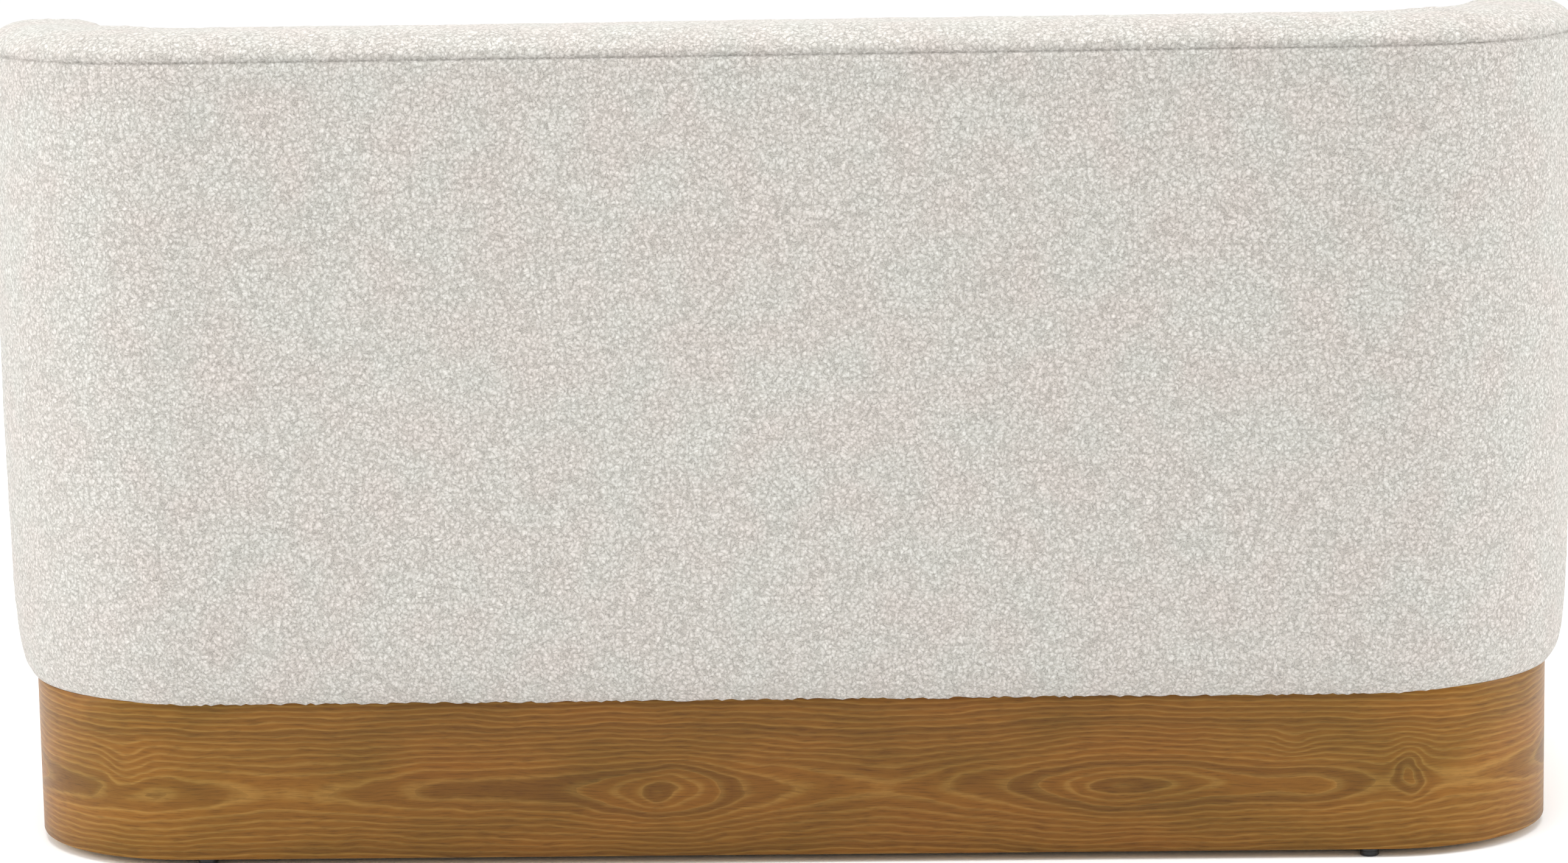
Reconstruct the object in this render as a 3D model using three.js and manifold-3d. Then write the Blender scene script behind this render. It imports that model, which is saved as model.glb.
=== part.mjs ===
// A barrel-backed two-seat sofa on a veneered plinth, modelled in millimetres.
// X runs to the right as seen from the front, Y to the back and Z up.
// The origin is on the floor under the middle of the sofa.

import * as THREE from 'three';
import { mergeVertices } from 'three/addons/utils/BufferGeometryUtils.js';
import Module from 'manifold-3d';

const wasm = await Module();
wasm.setup();

// ---- Driving dimensions ----

const GAP = 0.3; // air left between pieces that touch
const CORNER_STEPS = 6; // facets in each rounded corner
const FAR = 2000; // reach of the cutting blocks, past the whole sofa
const BELOW = 100; // a height under the body, where an inner solid starts so that it cuts through

const HEIGHT = 784.5;
const DECK_HEIGHT = 300.5; // top of the covered deck that the cushion lies on
const SEAT_HEIGHT = 450; // top of the loose cushion

const GLIDE = { radius: 9, soleRadius: 7.5, height: 8, edgeX: 545, nailRadius: 1.2, nailLength: 16 };

const PLINTH = {
  halfWidth: 725,
  halfDepth: 375,
  cornerRadius: 165,
  top: 160,
  veneer: 2.5,
  board: 18,
};

const BODY = {
  halfWidth: 750,
  halfDepth: 400,
  footRadius: 185, // plan corner radius where the body meets the plinth
  seamRadius: 205, // plan corner radius at the seam under the top band
  cover: 3, // upholstery fabric with its thin wadding
  panel: 5, // bent outer plywood
  foam: 45, // padding on the inside of the wall
};

// How far the body stands out past the plinth, from its tucked lower edge up to the seam.
const OVERHANG = [
  [160, 6],
  [175, 12],
  [190, 15],
  [215, 18],
  [260, 20],
  [450, 22.5],
  [740, 25],
];

// Thickness of the upholstered wall at three heights, on the arms and on the back.
const WALL = {
  heights: [DECK_HEIGHT, SEAT_HEIGHT, 765],
  arm: [135, 132, 118],
  back: [172, 165, 118],
  innerRadius: 110,
};

const CROWN = {
  outerReach: 40, // how far the roundings of the outer and inner edges run across the top
  outerRise: 25, // and how high they climb
  innerReach: 44,
  innerRise: 22,
  width: 105, // from the outer face to well inside the rounding of the inner edge
  seam: 759,
  foamBase: 764,
  railThickness: 18,
};

// The back is level; the arms slope down from where the rear corners end.
const SLOPE = { startY: 195, fall: 0.22, lowest: 450, full: 740 };

// The upright corner at the front of each arm is taken off by a sloping flat. Its direction points
// forwards and inwards from the right-hand arm; the distances are along it, from the origin.
const NOSE = {
  direction: [-0.537, -0.843],
  softened: 16, // how far the panel and the foam stop short of its edges, so that the cover turns softly
  distances: [
    [DECK_HEIGHT + 0.5, -4],
    [360, -23],
    [SEAT_HEIGHT, -27],
    [765, -43],
    [820, -46],
  ],
};

const FULL_OVERHANG = BODY.halfWidth - PLINTH.halfWidth;
const CROWN_ANGLES = [0, 30, 60, 90];

const FRAME = {
  baseThickness: 18,
  baseOpening: { halfWidth: 600, halfDepth: 260, radius: 80 },
  post: 44,
  rail: 25,
  railTop: 284,
  seatHalfWidth: 638,
  seatFront: -354,
  seatBack: 325,
};

const SPRING = { count: 5, spacing: 215, wireRadius: 1.9, swing: 24, bends: 16, arch: 2 };
const DECK = { halfWidth: 612, padBottom: 291, padTop: 298.7, coverBottom: 299, back: 224 };
const CUSHION = {
  halfWidth: 611,
  front: -400,
  back: 225,
  bottom: 302,
  edge: 12,
  frontRadius: 40,
  backRadius: 100,
};
const ZIP = { halfLength: 500, height: 24, centre: 376, tape: 1.2, slider: [12, 2.5, 10], start: -490 };

// ---- Materials ----

const boucle = new THREE.MeshStandardMaterial({ color: 0xd8d4cf, roughness: 0.95 });
const veneer = new THREE.MeshStandardMaterial({ color: 0x8f6436, roughness: 0.5 });
const plywood = new THREE.MeshStandardMaterial({ color: 0xc9a878, roughness: 0.7 });
const timber = new THREE.MeshStandardMaterial({ color: 0xc2a070, roughness: 0.75 });
const foam = new THREE.MeshStandardMaterial({ color: 0xe9e2c8, roughness: 0.95 });
const felt = new THREE.MeshStandardMaterial({ color: 0x8b8a86, roughness: 1.0 });
const lining = new THREE.MeshStandardMaterial({ color: 0x1c1c1d, roughness: 0.95 });
const steel = new THREE.MeshStandardMaterial({ color: 0x8d9093, roughness: 0.4, metalness: 1.0 });
const plastic = new THREE.MeshStandardMaterial({ color: 0x141414, roughness: 0.45 });

// ---- Solids ----

function toSolid(geometry) {
  const bare = geometry.clone();
  bare.deleteAttribute('normal');
  bare.deleteAttribute('uv');
  const merged = mergeVertices(bare, 1e-3);
  const mesh = new wasm.Mesh({
    numProp: 3,
    vertProperties: new Float32Array(merged.attributes.position.array),
    triVerts: new Uint32Array(merged.index.array),
  });
  return new wasm.Manifold(mesh);
}

function toGeometry(solid) {
  const mesh = solid.getMesh();
  const geometry = new THREE.BufferGeometry();
  geometry.setAttribute('position', new THREE.BufferAttribute(mesh.vertProperties, 3));
  geometry.setIndex(new THREE.BufferAttribute(mesh.triVerts, 1));
  geometry.computeVertexNormals();
  return geometry;
}

function block(low, high) {
  const size = high.map((value, axis) => value - low[axis]);
  const middle = high.map((value, axis) => (value + low[axis]) / 2);
  const geometry = new THREE.BoxGeometry(...size);
  geometry.translate(...middle);
  return toSolid(geometry);
}

// A block on the right-hand side and its mirror image on the left.
function mirrored(solid) {
  return solid.mirror([1, 0, 0]);
}

function rod(radius, low, high, x, y) {
  const geometry = new THREE.CylinderGeometry(radius, radius, high - low, 12);
  geometry.rotateX(Math.PI / 2);
  geometry.translate(x, y, (low + high) / 2);
  return toSolid(geometry);
}

// The corner points of a rounded rectangle, anticlockwise from the right-hand back corner.
function roundedPlan({ halfWidth, front, back, frontRadius, backRadius }) {
  const corners = [
    [halfWidth - backRadius, back - backRadius, backRadius],
    [backRadius - halfWidth, back - backRadius, backRadius],
    [frontRadius - halfWidth, front + frontRadius, frontRadius],
    [halfWidth - frontRadius, front + frontRadius, frontRadius],
  ];
  return corners.flatMap(([x, y, radius], quarter) => {
    const steps = Array.from({ length: CORNER_STEPS + 1 }, (_, step) => step);
    return steps.map((step) => {
      const angle = ((quarter + step / CORNER_STEPS) * Math.PI) / 2;
      return [x + radius * Math.cos(angle), y + radius * Math.sin(angle)];
    });
  });
}

// A plan that is the same at the front and at the back.
function evenPlan(halfWidth, halfDepth, radius) {
  return roundedPlan({
    halfWidth,
    front: -halfDepth,
    back: halfDepth,
    frontRadius: radius,
    backRadius: radius,
  });
}

// The fall of the arm tops at a distance y, growing with height from nothing at the seat.
function lower(y, z) {
  const along = Math.max(0, SLOPE.startY - y) * SLOPE.fall;
  const share = (z - SLOPE.lowest) / (SLOPE.full - SLOPE.lowest);
  return z - along * Math.min(1, Math.max(0, share));
}

// A closed solid through a stack of plans with the same number of points.
function loft(levels, sloped) {
  const count = levels[0].plan.length;
  const positions = levels.flatMap(({ z, plan }) => {
    return plan.flatMap(([x, y]) => [x, y, sloped ? lower(y, z) : z]);
  });
  const index = [];
  for (let level = 0; level < levels.length - 1; level += 1) {
    for (let point = 0; point < count; point += 1) {
      const next = (point + 1) % count;
      const a = level * count + point;
      const b = level * count + next;
      index.push(a, b, b + count);
      index.push(a, b + count, a + count);
    }
  }
  const roof = (levels.length - 1) * count;
  for (let point = 1; point < count - 1; point += 1) {
    index.push(0, point + 1, point);
    index.push(roof, roof + point, roof + point + 1);
  }
  const geometry = new THREE.BufferGeometry();
  geometry.setAttribute('position', new THREE.Float32BufferAttribute(positions, 3));
  geometry.setIndex(index);
  return toSolid(geometry);
}

function prism(plan, low, high) {
  return loft([{ z: low, plan }, { z: high, plan }], false);
}

function interpolate(points, value) {
  const after = points.findIndex(([at]) => at >= value);
  if (after < 0) return points[points.length - 1][1];
  if (after === 0) return points[0][1];
  const [x0, y0] = points[after - 1];
  const [x1, y1] = points[after];
  return y0 + ((y1 - y0) * (value - x0)) / (x1 - x0);
}

// ---- The two surfaces of the upholstered wall ----

// What the flat takes off the front corner of each arm, moved back into the arm by a depth.
function noseTrim(depth) {
  const [alongX, alongY] = NOSE.direction;
  const place = (along, across) => [along * alongX - across * alongY, along * alongY + across * alongX];
  const levels = NOSE.distances.map(([z, distance]) => {
    const near = distance - depth;
    const plan = [[near, -400], [near + 300, -400], [near + 300, 800], [near, 800]];
    return { z, plan: plan.map(([along, across]) => place(along, across)) };
  });
  const right = loft(levels, true).intersect(block([0, -FAR, -FAR], [FAR, 0, FAR]));
  return right.add(mirrored(right));
}

// The whole body as one solid, taken in by a depth from its outer surface.
function bodySolid(inset, bottom) {
  const levels = [];
  const addLevel = (z, overhang, radius) => {
    const plan = evenPlan(PLINTH.halfWidth + overhang, PLINTH.halfDepth + overhang, radius);
    levels.push({ z, plan });
  };
  OVERHANG.forEach(([z, overhang], row) => {
    const share = (z - PLINTH.top) / (SLOPE.full - PLINTH.top);
    const radius = BODY.footRadius + (BODY.seamRadius - BODY.footRadius) * share;
    addLevel(row === 0 ? bottom : z, overhang - inset, radius - inset);
  });
  const addCrownLevel = (z, overhang) => {
    addLevel(z, overhang, BODY.seamRadius + overhang - FULL_OVERHANG);
  };
  const reach = CROWN.outerReach - inset;
  const rise = CROWN.outerRise - inset;
  for (const degrees of CROWN_ANGLES) {
    const angle = THREE.MathUtils.degToRad(degrees);
    const overhang = FULL_OVERHANG - CROWN.outerReach + reach * Math.cos(angle);
    addCrownLevel(HEIGHT - CROWN.outerRise + rise * Math.sin(angle), overhang);
  }
  addCrownLevel(HEIGHT - inset, FULL_OVERHANG - CROWN.width);
  return loft(levels, true).subtract(noseTrim(inset));
}

function wallThickness(side, z) {
  return interpolate(WALL.heights.map((height, row) => [height, side[row]]), z);
}

// The space between the arms and the back, widened into the wall by a depth.
function wellSolid(depth, bottom) {
  const levels = [];
  const addLevel = (z, armWall, backWall) => {
    const plan = roundedPlan({
      halfWidth: BODY.halfWidth - armWall,
      front: -FAR / 2,
      back: BODY.halfDepth - backWall,
      frontRadius: 50,
      backRadius: WALL.innerRadius,
    });
    levels.push({ z, plan });
  };
  for (const z of [bottom, SEAT_HEIGHT, SLOPE.full]) {
    addLevel(z, wallThickness(WALL.arm, z) - depth, wallThickness(WALL.back, z) - depth);
  }
  const top = WALL.arm[WALL.arm.length - 1];
  const reach = CROWN.innerReach - depth;
  const rise = CROWN.innerRise - depth;
  if (rise > 0) {
    for (const degrees of CROWN_ANGLES) {
      const angle = THREE.MathUtils.degToRad(degrees);
      const wall = top - CROWN.innerReach + reach * Math.cos(angle);
      addLevel(HEIGHT - CROWN.innerRise + rise * Math.sin(angle), wall, wall);
    }
    addLevel(HEIGHT + 20, top - CROWN.innerReach, top - CROWN.innerReach);
  } else {
    addLevel(HEIGHT + 20, top - depth, top - depth);
  }
  return loft(levels, true);
}

// The wall with a layer taken off both faces.
function wallSolid(layer, bottom) {
  return bodySolid(layer, bottom).subtract(wellSolid(layer, DECK_HEIGHT));
}

// A long bar along X with a section given as [y, z] points.
function barAlongX(section) {
  const outline = new THREE.Shape(section.map(([y, z]) => new THREE.Vector2(y, z)));
  const geometry = new THREE.ExtrudeGeometry(outline, { depth: 2 * FAR, bevelEnabled: false });
  geometry.translate(0, 0, -FAR);
  geometry.applyMatrix4(new THREE.Matrix4().makeBasis(
    new THREE.Vector3(0, 1, 0),
    new THREE.Vector3(0, 0, 1),
    new THREE.Vector3(1, 0, 0),
  ));
  return toSolid(geometry);
}

// A height on the back, carried forward down the slope of the arm tops.
function slopeLine(height) {
  return [FAR, SLOPE.startY, -FAR].map((y) => [y, lower(y, height)]);
}

function aboveSlope(height) {
  return barAlongX([...slopeLine(height), [-FAR, FAR], [FAR, FAR]]);
}

function belowSlope(height) {
  return barAlongX([...slopeLine(height), [-FAR, -FAR], [FAR, -FAR]]);
}

// ---- Assembly ----

const sofa = new THREE.Group();
sofa.name = 'sofa';

function add(name, solid, material) {
  const geometry = solid.isBufferGeometry ? solid : toGeometry(solid);
  const mesh = new THREE.Mesh(geometry, material);
  mesh.name = name;
  sofa.add(mesh);
  return mesh;
}

// The four places where a piece repeats, right and left, back and front.
const quarters = [
  { place: 'rear_right', sideX: 1, sideY: 1 },
  { place: 'rear_left', sideX: -1, sideY: 1 },
  { place: 'front_left', sideX: -1, sideY: -1 },
  { place: 'front_right', sideX: 1, sideY: -1 },
];

// ---- Plinth ----

function plinthPlan(inset) {
  return evenPlan(
    PLINTH.halfWidth - inset,
    PLINTH.halfDepth - inset,
    PLINTH.cornerRadius - inset,
  );
}

const boardFace = PLINTH.veneer + GAP; // outer face of the boards, in from the plinth's face
const boardInside = boardFace + PLINTH.board;
const glideInset = boardFace + PLINTH.board / 2;
const straightX = PLINTH.halfWidth - PLINTH.cornerRadius;
const straightY = PLINTH.halfDepth - PLINTH.cornerRadius;

function addPlinthVeneer() {
  const ring = prism(plinthPlan(0), GLIDE.height, PLINTH.top);
  const hole = prism(plinthPlan(PLINTH.veneer), GLIDE.height - 5, PLINTH.top + 5);
  add('plinth_veneer', ring.subtract(hole), veneer);
}

function boardRing() {
  const ring = prism(plinthPlan(boardFace), GLIDE.height, PLINTH.top);
  return ring.subtract(prism(plinthPlan(boardInside), GLIDE.height - 5, PLINTH.top + 5));
}

function glideNailHoles() {
  const holes = quarters.map(({ sideX, sideY }) => {
    const y = sideY * (PLINTH.halfDepth - glideInset);
    const top = GLIDE.height + GLIDE.nailLength + 1;
    return rod(GLIDE.nailRadius + GAP, GLIDE.height - 5, top, sideX * GLIDE.edgeX, y);
  });
  return wasm.Manifold.union(holes);
}

function addPlinthBoards() {
  const ring = boardRing().subtract(glideNailHoles());
  const endX = straightX - GAP;
  const endY = straightY - GAP;
  const strips = {
    plinth_back_board: block([-endX, 0, -FAR], [endX, FAR, FAR]),
    plinth_front_board: block([-endX, -FAR, -FAR], [endX, 0, FAR]),
    plinth_right_board: block([0, -endY, -FAR], [FAR, endY, FAR]),
    plinth_left_board: block([-FAR, -endY, -FAR], [0, endY, FAR]),
  };
  Object.entries(strips).forEach(([name, strip]) => add(name, ring.intersect(strip), plywood));
}

function addPlinthBends() {
  const ring = boardRing();
  for (const { place, sideX, sideY } of quarters) {
    const nearX = sideX > 0 ? [straightX, FAR] : [-FAR, -straightX];
    const nearY = sideY > 0 ? [straightY, FAR] : [-FAR, -straightY];
    const corner = block([nearX[0], nearY[0], -FAR], [nearX[1], nearY[1], FAR]);
    add(`plinth_bend_${place}`, ring.intersect(corner), plywood);
  }
}

const plinthRailX = 190;
const screwY = 285;

function screwShaft(side, y, clearance) {
  return rod(2.5 + clearance, 100, PLINTH.top + 60, side * plinthRailX, y);
}

function addPlinthRails() {
  const endY = PLINTH.halfDepth - boardInside - GAP;
  for (const [place, side] of [['left', -1], ['right', 1]]) {
    const low = [side * plinthRailX - PLINTH.board / 2, -endY, GLIDE.height + 1.6];
    const high = [side * plinthRailX + PLINTH.board / 2, endY, PLINTH.top];
    const drilled = block(low, high)
      .subtract(screwShaft(side, screwY, GAP))
      .subtract(screwShaft(side, -screwY, GAP));
    add(`plinth_rail_${place}`, drilled, plywood);
  }
}

function addDustCover() {
  const sheet = prism(plinthPlan(boardInside + GAP), GLIDE.height, GLIDE.height + 1.2);
  add('dust_cover', sheet, lining);
}

// A nail-on glide: a shallow foot with a rounded rim and a nail up into the board.
function addGlides() {
  const top = GLIDE.height - GAP;
  const profile = [
    [0, 0],
    [GLIDE.soleRadius, 0],
    [GLIDE.radius - 0.4, 1.2],
    [GLIDE.radius, 3],
    [GLIDE.radius, top],
    [GLIDE.nailRadius, top],
    [GLIDE.nailRadius, top + GLIDE.nailLength],
    [0, top + GLIDE.nailLength],
  ].map(([radius, z]) => new THREE.Vector2(radius, z));
  for (const { place, sideX, sideY } of quarters) {
    const geometry = new THREE.LatheGeometry(profile, 20);
    geometry.rotateX(Math.PI / 2);
    const glide = add(`glide_${place}`, geometry, plastic);
    glide.position.set(sideX * GLIDE.edgeX, sideY * (PLINTH.halfDepth - glideInset), 0);
  }
}

// ---- Timber frame of the body ----

const baseBottom = PLINTH.top + GAP;
const baseTop = baseBottom + FRAME.baseThickness;

function addBaseBoard() {
  const { halfWidth, halfDepth, radius } = FRAME.baseOpening;
  const opening = prism(evenPlan(halfWidth, halfDepth, radius), 0, HEIGHT);
  const sheet = bodySolid(BODY.cover + BODY.panel + 2, BELOW);
  let board = sheet.intersect(block([-FAR, -FAR, baseBottom], [FAR, FAR, baseTop]));
  board = board.subtract(opening);
  for (const side of [-1, 1]) {
    board = board.subtract(screwShaft(side, screwY, GAP));
    board = board.subtract(screwShaft(side, -screwY, GAP));
  }
  add('base_board', board, plywood);
}

function addBodyScrews() {
  for (const { place, sideX, sideY } of quarters) {
    const y = sideY * screwY;
    const head = rod(6, baseTop + GAP, baseTop + 4, sideX * plinthRailX, y);
    const shaft = rod(2.5, PLINTH.top - 42, baseTop + 2, sideX * plinthRailX, y);
    add(`body_screw_${place}`, head.add(shaft), steel);
  }
}

function addSeatRails() {
  const bottom = baseTop + GAP;
  const { seatHalfWidth, seatFront, seatBack, rail, railTop } = FRAME;
  const alongFront = seatFront + rail + GAP;
  const alongBack = seatBack - rail - GAP;
  const front = block([-seatHalfWidth, seatFront, bottom], [seatHalfWidth, seatFront + rail, railTop]);
  const back = block([-seatHalfWidth, seatBack - rail, bottom], [seatHalfWidth, seatBack, railTop]);
  const right = block([seatHalfWidth - rail, alongFront, bottom], [seatHalfWidth, alongBack, railTop]);
  const stretcher = block([-rail / 2, alongFront, bottom], [rail / 2, alongBack, railTop - 24]);
  add('seat_front_rail', front, timber);
  add('seat_back_rail', back, timber);
  add('seat_right_rail', right, timber);
  add('seat_left_rail', mirrored(right), timber);
  add('seat_stretcher', stretcher, timber);
}

function addPosts() {
  const outside = PLINTH.halfWidth;
  const behind = PLINTH.halfDepth;
  const { post } = FRAME;
  const bottom = baseTop + GAP;
  const roof = belowSlope(CROWN.foamBase - CROWN.railThickness - 1 - GAP);
  const stand = (x, y) => block([x, y, bottom], [x + post, y + post, HEIGHT]).intersect(roof);
  const frontPost = stand(outside - post, -225);
  const rearPost = stand(outside - post, 130);
  add('arm_post_front_right', frontPost, timber);
  add('arm_post_front_left', mirrored(frontPost), timber);
  add('arm_post_rear_right', rearPost, timber);
  add('arm_post_rear_left', mirrored(rearPost), timber);
  for (const [place, x] of [['left', -522], ['middle', 0], ['right', 522]]) {
    add(`back_post_${place}`, stand(x - post / 2, behind - post), timber);
  }
}

const panelInside = BODY.cover + GAP + BODY.panel + GAP;
const noseY = -275; // in front of this the arm is foam right through
const seamGap = GAP / 2;

function addTopRails() {
  const railTop = CROWN.foamBase - 1;
  const band = aboveSlope(railTop - CROWN.railThickness).intersect(belowSlope(railTop));
  const outer = bodySolid(panelInside, BELOW);
  const inner = wellSolid(BODY.cover + BODY.foam + 2 * GAP, DECK_HEIGHT);
  const loop = outer.subtract(inner).intersect(band);
  const split = SLOPE.startY;
  const arm = loop.intersect(block([0, noseY + GAP, 0], [FAR, split - seamGap, FAR]));
  add('back_top_rail', loop.intersect(block([-FAR, split + seamGap, 0], [FAR, FAR, FAR])), plywood);
  add('arm_top_rail_right', arm, plywood);
  add('arm_top_rail_left', mirrored(arm), plywood);
}

// The part of the front between the arms, where the outer cover and its panel stop.
function frontGap(margin) {
  const half = DECK.halfWidth + margin;
  return block([-half, -FAR, -FAR], [half, 0, FAR]);
}

function addOuterPanel() {
  const outside = BODY.cover + GAP;
  const shell = bodySolid(outside, baseBottom).subtract(bodySolid(outside + BODY.panel, BELOW));
  const panel = shell
    .subtract(wellSolid(outside + NOSE.softened, DECK_HEIGHT))
    .subtract(frontGap(1))
    .intersect(belowSlope(CROWN.foamBase - GAP));
  add('outer_panel', panel, plywood);
}

// ---- Springs, deck and padding ----

function addSprings() {
  const { count, spacing, wireRadius, swing, bends, arch } = SPRING;
  const front = FRAME.seatFront + FRAME.rail / 2;
  const back = FRAME.seatBack - FRAME.rail / 2;
  const height = FRAME.railTop + GAP + wireRadius;
  const points = [];
  for (let bend = 0; bend <= bends; bend += 1) {
    const along = bend / bends;
    const ends = bend === 0 || bend === bends;
    const side = bend % 2 === 0 ? 1 : -1;
    const x = ends ? 0 : (side * swing) / 2;
    const z = height + arch * Math.sin(Math.PI * along);
    points.push(new THREE.Vector3(x, front + (back - front) * along, z));
  }
  const wire = new THREE.Shape();
  wire.absarc(0, 0, wireRadius, 0, 2 * Math.PI);
  for (let number = 1; number <= count; number += 1) {
    const geometry = new THREE.ExtrudeGeometry(wire, {
      steps: bends * 3,
      curveSegments: 3,
      extrudePath: new THREE.CatmullRomCurve3(points),
    });
    const spring = add(`seat_spring_${number}`, toSolid(geometry), steel);
    spring.position.x = (number - (count + 1) / 2) * spacing;
  }
}

function addDeck() {
  const { halfWidth, padBottom, padTop, coverBottom, back } = DECK;
  const pad = roundedPlan({
    halfWidth,
    front: FRAME.seatFront,
    back,
    frontRadius: 10,
    backRadius: WALL.innerRadius - 8,
  });
  const cover = roundedPlan({
    halfWidth: halfWidth + 1,
    front: FRAME.seatFront + FRAME.rail - seamGap,
    back: back + 1,
    frontRadius: 10,
    backRadius: WALL.innerRadius - 8,
  });
  add('deck_pad', prism(pad, padBottom, padTop), felt);
  add('deck_cover', prism(cover, coverBottom, DECK_HEIGHT), boucle);
}

function addWallFoam() {
  const skin = BODY.cover + GAP;
  const lined = wellSolid(skin + BODY.foam, DECK_HEIGHT);
  const nose = block([-FAR, -FAR, DECK_HEIGHT + 0.5], [FAR, noseY, FAR]);
  const padding = lined
    .add(nose)
    .subtract(wellSolid(skin, DECK_HEIGHT))
    .intersect(bodySolid(panelInside, BELOW))
    .intersect(belowSlope(CROWN.foamBase - GAP))
    .intersect(block([-FAR, -FAR, DECK_HEIGHT + 0.5], [FAR, FAR, FAR]))
    .subtract(noseTrim(panelInside + NOSE.softened));
  const split = BODY.halfDepth - WALL.back[1] - WALL.innerRadius;
  const arm = padding.intersect(block([0, -FAR, 0], [FAR, split - seamGap, FAR]));
  const back = padding.intersect(block([-FAR, split + seamGap, 0], [FAR, FAR, FAR]));
  add('back_foam', back, foam);
  add('arm_foam_right', arm, foam);
  add('arm_foam_left', mirrored(arm), foam);
}

function addTopFoam() {
  const skin = BODY.cover + GAP;
  const layer = wallSolid(skin, BELOW)
    .intersect(aboveSlope(CROWN.foamBase))
    .subtract(noseTrim(skin + NOSE.softened));
  add('top_foam', layer, foam);
}

function addFrontFoam() {
  const half = DECK.halfWidth - GAP;
  const reach = block([-half, -FAR, baseTop + GAP], [half, FRAME.seatFront - GAP, DECK.padTop]);
  add('front_rail_foam', bodySolid(BODY.cover + GAP, BELOW).intersect(reach), foam);
}

// ---- Covers ----

function coverShell() {
  return wallSolid(0, baseBottom).subtract(wallSolid(BODY.cover, BELOW));
}

function addOuterWrapCover() {
  const wrap = bodySolid(0, baseBottom)
    .subtract(bodySolid(BODY.cover, BELOW))
    .subtract(wellSolid(0, DECK_HEIGHT))
    .subtract(frontGap(GAP))
    .intersect(belowSlope(CROWN.seam - seamGap));
  add('outer_wrap_cover', wrap, boucle);
}

function addTopBandCover() {
  add('top_band_cover', coverShell().intersect(aboveSlope(CROWN.seam + seamGap)), boucle);
}

function addInnerCovers() {
  const skin = wellSolid(BODY.cover, DECK_HEIGHT)
    .subtract(wellSolid(0, DECK_HEIGHT - 5))
    .intersect(bodySolid(BODY.cover + GAP, BELOW))
    .intersect(belowSlope(CROWN.seam - seamGap))
    .intersect(block([-FAR, -FAR, DECK_HEIGHT + 0.5], [FAR, FAR, FAR]));
  const split = BODY.halfDepth - WALL.back[1] - WALL.innerRadius;
  const arm = skin.intersect(block([0, -FAR, 0], [FAR, split - seamGap, FAR]));
  add('inner_back_cover', skin.intersect(block([-FAR, split + seamGap, 0], [FAR, FAR, FAR])), boucle);
  add('inner_arm_cover_right', arm, boucle);
  add('inner_arm_cover_left', mirrored(arm), boucle);
}

function addFrontRailCover() {
  const half = DECK.halfWidth;
  const reach = block([-half, -FAR, baseBottom], [half, 0, DECK_HEIGHT]);
  const face = bodySolid(0, baseBottom).subtract(bodySolid(BODY.cover, BELOW)).intersect(reach);
  const lipBack = FRAME.seatFront + FRAME.rail - seamGap - GAP;
  const lip = block([-half, -FAR, DECK.coverBottom], [half, lipBack, DECK_HEIGHT]);
  add('front_rail_cover', face.add(bodySolid(0, baseBottom).intersect(lip)), boucle);
}

// ---- Loose seat cushion ----

function addSeatCushion() {
  const { halfWidth, front, back, bottom, edge, frontRadius, backRadius } = CUSHION;
  const rows = [
    [bottom, edge],
    [bottom + edge * 0.3, edge * 0.3],
    [bottom + edge, 0],
    [SEAT_HEIGHT - edge, 0],
    [SEAT_HEIGHT - edge * 0.3, edge * 0.3],
    [SEAT_HEIGHT, edge],
  ];
  const levels = rows.map(([z, inset]) => {
    const plan = roundedPlan({
      halfWidth: halfWidth - inset,
      front: front + inset,
      back: back - inset,
      frontRadius: frontRadius - inset / 2,
      backRadius: backRadius - inset / 2,
    });
    return { z, plan };
  });
  add('seat_cushion', loft(levels, false), boucle);
}

function addCushionZip() {
  const { halfLength, height, centre, tape, slider, start } = ZIP;
  const near = CUSHION.back + GAP;
  const low = [-halfLength, near, centre - height / 2];
  const high = [halfLength, near + tape, centre + height / 2];
  add('cushion_zip', block(low, high), lining);
  const [long, thick, tall] = slider;
  const seat = near + tape + GAP;
  const body = block(
    [start - long / 2, seat, centre - tall / 2],
    [start + long / 2, seat + thick, centre + tall / 2],
  );
  const pull = block([start - 2.5, seat + 0.6, centre - 23], [start + 2.5, seat + 1.8, centre]);
  add('cushion_zip_slider', body.add(pull), steel);
}

addPlinthVeneer();
addPlinthBoards();
addPlinthBends();
addPlinthRails();
addDustCover();
addGlides();
addBaseBoard();
addBodyScrews();
addSeatRails();
addPosts();
addTopRails();
addOuterPanel();
addSprings();
addDeck();
addWallFoam();
addTopFoam();
addFrontFoam();
addOuterWrapCover();
addTopBandCover();
addInnerCovers();
addFrontRailCover();
addSeatCushion();
addCushionZip();

export default sofa;
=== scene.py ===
import math

import bpy
import numpy as np
from mathutils import Matrix, Vector, noise


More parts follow.
